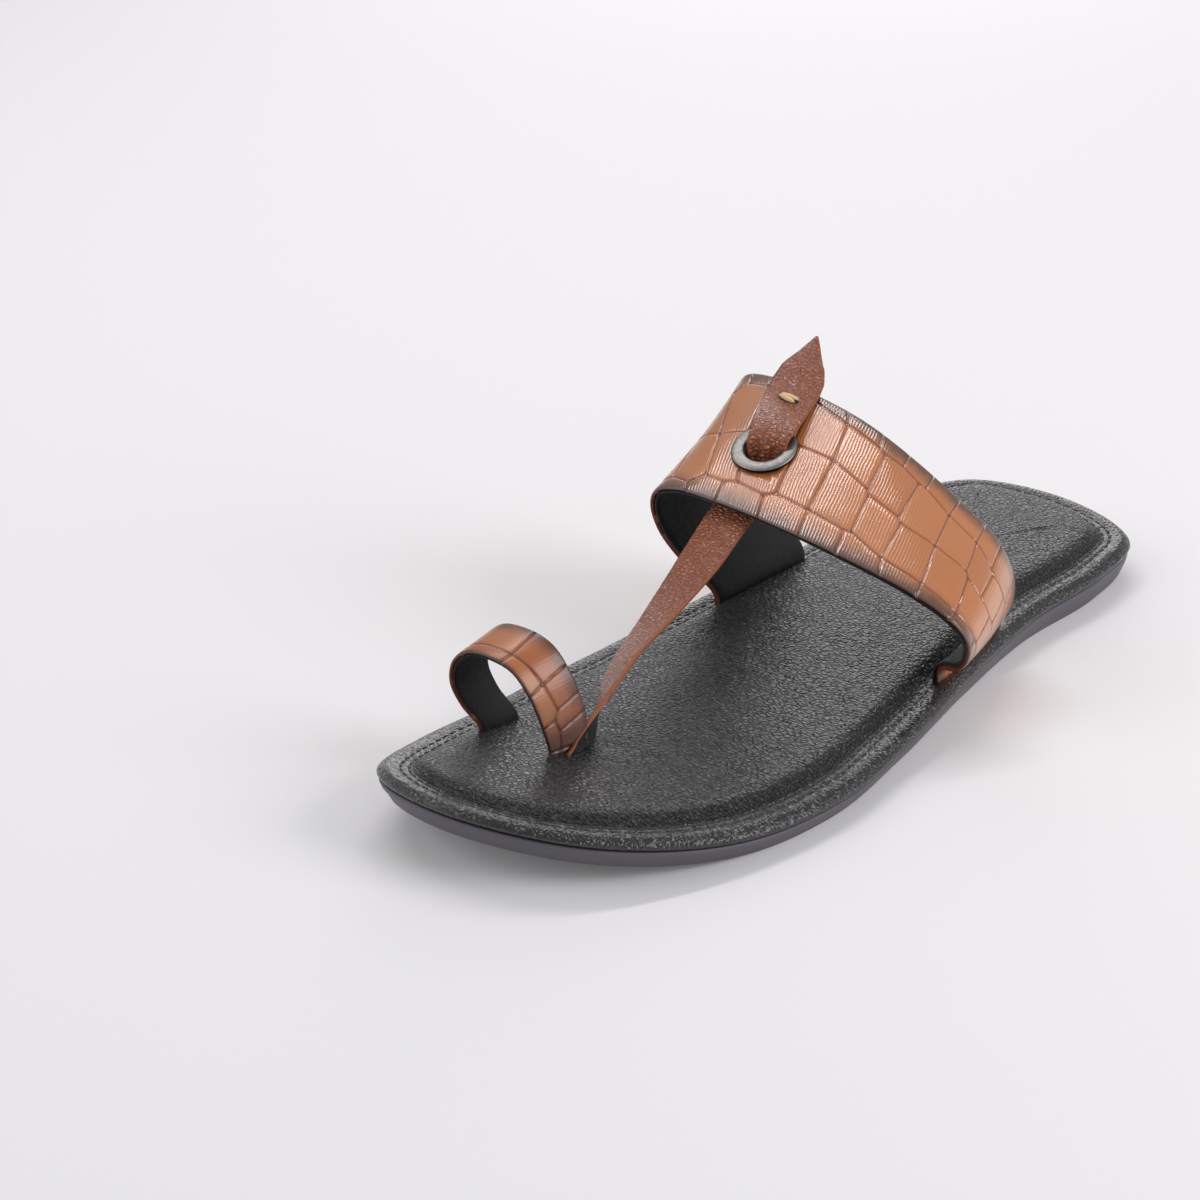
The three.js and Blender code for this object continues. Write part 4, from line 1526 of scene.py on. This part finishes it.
    def build(self, materials: Sequence[Material]) -> Object:
        """Builds the strap.

        Args:
            materials: the face, the back and the cut edge.

        Returns:
            The piece.
        """
        self.smooth()
        bm = bmesh.new()
        bmesh.ops.create_grid(bm, x_segments=self.columns, y_segments=self.steps, size=0.5)
        uv = bm.loops.layers.uv.new("UVMap")
        length = along([f.place for f in self.frames])[-1]
        for quad in bm.faces:
            for corner in quad.loops:
                spot = corner.vert.co
                frame = self.frames[round((spot.y + 0.5) * self.steps)]
                corner[uv].uv = (spot.x * frame.width, (spot.y + 0.5) * length)
        for vert in bm.verts:
            share = vert.co.x
            frame = self.frames[round((vert.co.y + 0.5) * self.steps)]
            near_hole = math.exp(-(((vert.co.y + 0.5 - self.hole_share) * length / self.crease_reach) ** 2))
            fold = self.crease_depth * near_hole * math.cos(2 * math.pi * share * self.crease_count)
            dome = self.swell * (1 - (2 * share) ** 2) + fold
            lift = frame.normal * (self.thickness / 2 + dome - self.sink)
            vert.co = frame.place + frame.across * share * frame.width + lift
        bm.normal_update()
        strap = finish_piece(bm, "thong_strap", materials, "upper")
        thicken(strap, self.thickness * self.pared)
        return strap


@dataclass
class Tack:
    """The single tack of thread that holds the thong to the band."""

    thong: Thong
    length: float = 6.6
    thread: float = 1.5
    spread: float = 1.3
    rise: float = 0.65
    tilt: float = -30.0
    crossing: float = 4.0  # in degrees, how far each strand turns from the tack's own line
    # The black ellipsoid under the strands: the needle holes at its ends, and painted shadow round the
    # strands.
    hole_and_shadow_size: tuple[float, float, float] = (7.8, 3.7, 1.2)

    def build(self, shadow_material: Material) -> Object:
        """Builds the two strands of the tack, and under them a black ellipsoid: the needle holes at its ends,
        and painted shadow of the dip that they pull in the strap.

        Args:
            shadow_material: the black of the needle holes and of the painted shadow.

        Returns:
            The piece.
        """
        frame = self.thong.frames[round(self.thong.tack_share * self.thong.steps)]
        bm = bmesh.new()
        turn = Matrix((frame.across, frame.normal.cross(frame.across), frame.normal)).transposed().to_4x4()
        turn = turn @ Matrix.Rotation(math.radians(self.tilt), 4, "Z")
        place = Matrix.Translation(frame.place + frame.normal * (self.thong.thickness / 2))
        for side in (-1, 1):
            made = bmesh.ops.create_uvsphere(bm, u_segments=20, v_segments=14, radius=0.5)
            size = Matrix.Diagonal((self.length, self.thread, self.thread, 1))
            lean = Matrix.Rotation(math.radians(self.crossing * side), 4, "Z")
            offset = Matrix.Translation((0, side * self.spread / 2, self.rise))
            bmesh.ops.transform(bm, matrix=place @ turn @ offset @ lean @ size, verts=made["verts"])
        strands = len(bm.faces)
        # The black ellipsoid: needle holes and painted shadow.
        made = bmesh.ops.create_uvsphere(bm, u_segments=16, v_segments=8, radius=0.5)
        bmesh.ops.transform(bm, matrix=place @ turn @ Matrix.Diagonal((*self.hole_and_shadow_size, 1)), verts=made["verts"])
        bm.faces.ensure_lookup_table()
        for face in bm.faces[strands:]:
            face.material_index = 1
        return finish_piece(bm, "tack_thread", [TAN_THREAD.material(), shadow_material])


@dataclass
class Eyelet:
    """The pressed eyelet: a domed flange, a barrel and a washer on the inside."""

    thong: Thong
    outer: float = 9.2
    hole: float = 5.6
    barrel_wall: float = 0.8
    washer: float = 8.2
    bend: tuple[float, float] = (115.0, 220.0)
    segments: int = 128
    undercut: float = 0.3
    dome_foot: float = 0.15
    dome_power: float = 0.35
    dome_steps: int = 12
    # The dark band at the flange's edges is the plating's oxide and painted shade in the crevices.
    oxide_and_shade_band: float = 0.13  # how far in from its edges the flange stays dark

    def profile(self) -> list[tuple[float, float]]:
        """Draws the eyelet's section.

        Returns:
            Pairs of radius and height, all round it.
        """
        thong = self.thong
        base, top = thong.clearance, thong.clearance + thong.flange
        inside = -thong.band.wall - thong.clearance
        low = inside - thong.flange * thong.washer_share
        crest, foot = (self.outer + self.hole) / 2, base + self.dome_foot
        dome = []
        for n in range(self.dome_steps + 1):
            angle = math.pi * n / self.dome_steps
            height = foot + math.sin(angle) ** self.dome_power * (top - foot)
            dome.append((crest + math.cos(angle) * (self.outer - crest), height))
        return [
            (self.outer - self.undercut, base), *dome, (self.hole, base), (self.hole, inside),
            (self.hole, low), (self.washer, low), (self.washer, inside),
            (self.hole + self.barrel_wall, inside), (self.hole + self.barrel_wall, base),
        ]

    def build(self) -> Object:
        """Spins the section and seats it on the band.

        Returns:
            The piece that stands for the CAD eyelet.
        """
        bm = bmesh.new()
        section = [bm.verts.new((radius, 0, height)) for radius, height in self.profile()]
        edges = [bm.edges.new(pair) for pair in zip(section, [*section[1:], section[0]])]
        bmesh.ops.spin(
            bm, geom=[*section, *edges], cent=(0, 0, 0), axis=(0, 0, 1), angle=2 * math.pi,
            steps=self.segments, use_merge=True,
        )
        bmesh.ops.remove_doubles(bm, verts=bm.verts, dist=1e-4)
        bmesh.ops.recalc_face_normals(bm, faces=bm.faces)
        # Faces near the flange's outer edge and round the hole get the dark plate: oxide and painted shade.
        for face in bm.faces:
            radius = face.calc_center_median().xy.length
            polished = self.hole + self.oxide_and_shade_band < radius < self.outer - self.oxide_and_shade_band
            face.material_index = 0 if polished else 1
        place, normal, heelward, sideways = self.thong.seat()
        for vert in bm.verts:
            drop = vert.co.x**2 / self.bend[0] + vert.co.y**2 / self.bend[1]
            lifted = vert.co.z - drop / 2
            vert.co = place + sideways * vert.co.x + heelward * vert.co.y + normal * lifted
        metals = [EYELET_METAL.material(), EYELET_SHADE.material()]
        return finish_piece(bm, "eyelet_ring", metals, "eyelet")


# The studio.


@dataclass(frozen=True)
class Softbox:
    """A rectangular area light that points at the sandal."""

    name: str
    place: tuple[float, float, float]
    size: tuple[float, float]
    power: float
    aim: tuple[float, float, float] = (0.0, 0.0, 0.03)
    long_side: tuple[float, float, float] = (0.0, 0.0, 1.0)  # which way its second side runs

    def turn(self) -> Matrix:
        """Points the light at its aim.

        Returns:
            The rotation.
        """
        back = (Vector(self.place) - Vector(self.aim)).normalized()
        side = Vector(self.long_side).cross(back).normalized()
        return Matrix((side, back.cross(side), back)).transposed()


@dataclass
class Studio:
    """A pale floor, soft lights and the camera at the photograph's angle."""

    floor_colour: str = "#f1f1f1"
    floor_glow: float = 0.06
    floor_roughness: float = 0.9
    floor_half: float = 20.0
    light_colour: str = "#fffbff"
    world_strength: float = 0.34
    camera_place: tuple[float, float, float] = (0.42771, -0.59024, 0.35554)
    azimuth: float = 39.99
    elevation: float = 24.45
    focal_px: float = 2943.74
    image_px: float = 1200.0
    sensor_mm: float = 36.0
    lights: tuple[Softbox, ...] = (
        Softbox("overhead", (-0.52, 0.3, 1.12), (0.11, 1.15), 4.6, long_side=(0.46, 0.89, 0.0)),
        Softbox("back_left", (-0.75, 1.05, 0.42), (0.7, 0.7), 3.0),
        Softbox("right", (1.0, 0.3, 0.6), (0.7, 0.7), 7.0),
        Softbox("front_left", (-0.9, -1.0, 0.8), (0.9, 0.9), 4.5),
    )

    def build(self) -> None:
        """Makes the floor, the world, the lights and the camera."""
        table = Finish("backlit_acrylic", self.floor_colour, roughness=self.floor_roughness).material()
        glow = table.node_tree.nodes["Principled BSDF"].inputs
        glow["Emission Color"].default_value = (1, 1, 1, 1)
        glow["Emission Strength"].default_value = self.floor_glow
        bm = bmesh.new()
        bmesh.ops.create_grid(bm, x_segments=1, y_segments=1, size=self.floor_half)
        add_mesh(bm, "floor", [table])
        world = bpy.data.worlds.new("studio")
        bpy.context.scene.world = world
        world.use_nodes = True
        background = world.node_tree.nodes["Background"].inputs
        background["Color"].default_value = (1, 1, 1, 1)
        background["Strength"].default_value = self.world_strength
        for box in self.lights:
            data = bpy.data.lights.new(box.name, "AREA")
            data.shape = "RECTANGLE"
            data.size, data.size_y = box.size
            data.energy = box.power
            data.color = linear(self.light_colour)[:3]
            light = add_object(box.name, data)
            light.location = box.place
            light.rotation_euler = box.turn().to_euler()
        data = bpy.data.cameras.new("photo_view")
        data.sensor_width = self.sensor_mm
        data.lens = self.focal_px / self.image_px * self.sensor_mm
        data.clip_start = 0.01
        camera = add_object("photo_view", data)
        camera.location = self.camera_place
        camera.rotation_euler = Euler((math.radians(90 - self.elevation), 0, math.radians(self.azimuth)))
        bpy.context.scene.camera = camera
        bpy.context.scene.view_settings.view_transform = "Standard"


def main() -> None:
    """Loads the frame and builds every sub-assembly in order."""
    logging.basicConfig(level=logging.INFO, format="%(name)s: %(message)s")
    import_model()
    Studio().build()
    shape = SoleShape()
    pieces = [Outsole(shape).build(), *Footbed(shape).build(), Insole(shape).build()]
    tan, lining, cut = STRAP_LEATHER.material(), LINING.material(), CUT_EDGE.material()
    band = InstepBand(shape)
    pieces += band.build([tan, lining, cut])
    pieces += ToeLoop(shape).build([LOOP_LEATHER.material(), lining, cut])
    thong = Thong(shape, band)
    pieces.append(thong.build([THONG_LEATHER.material(), lining, NATURAL_EDGE.material()]))
    pieces += [Tack(thong).build(lining), Eyelet(thong).build()]
    for piece in pieces:
        log.info("%s: %d faces", piece.name, len(piece.data.polygons))


if __name__ == "__main__":
    main()
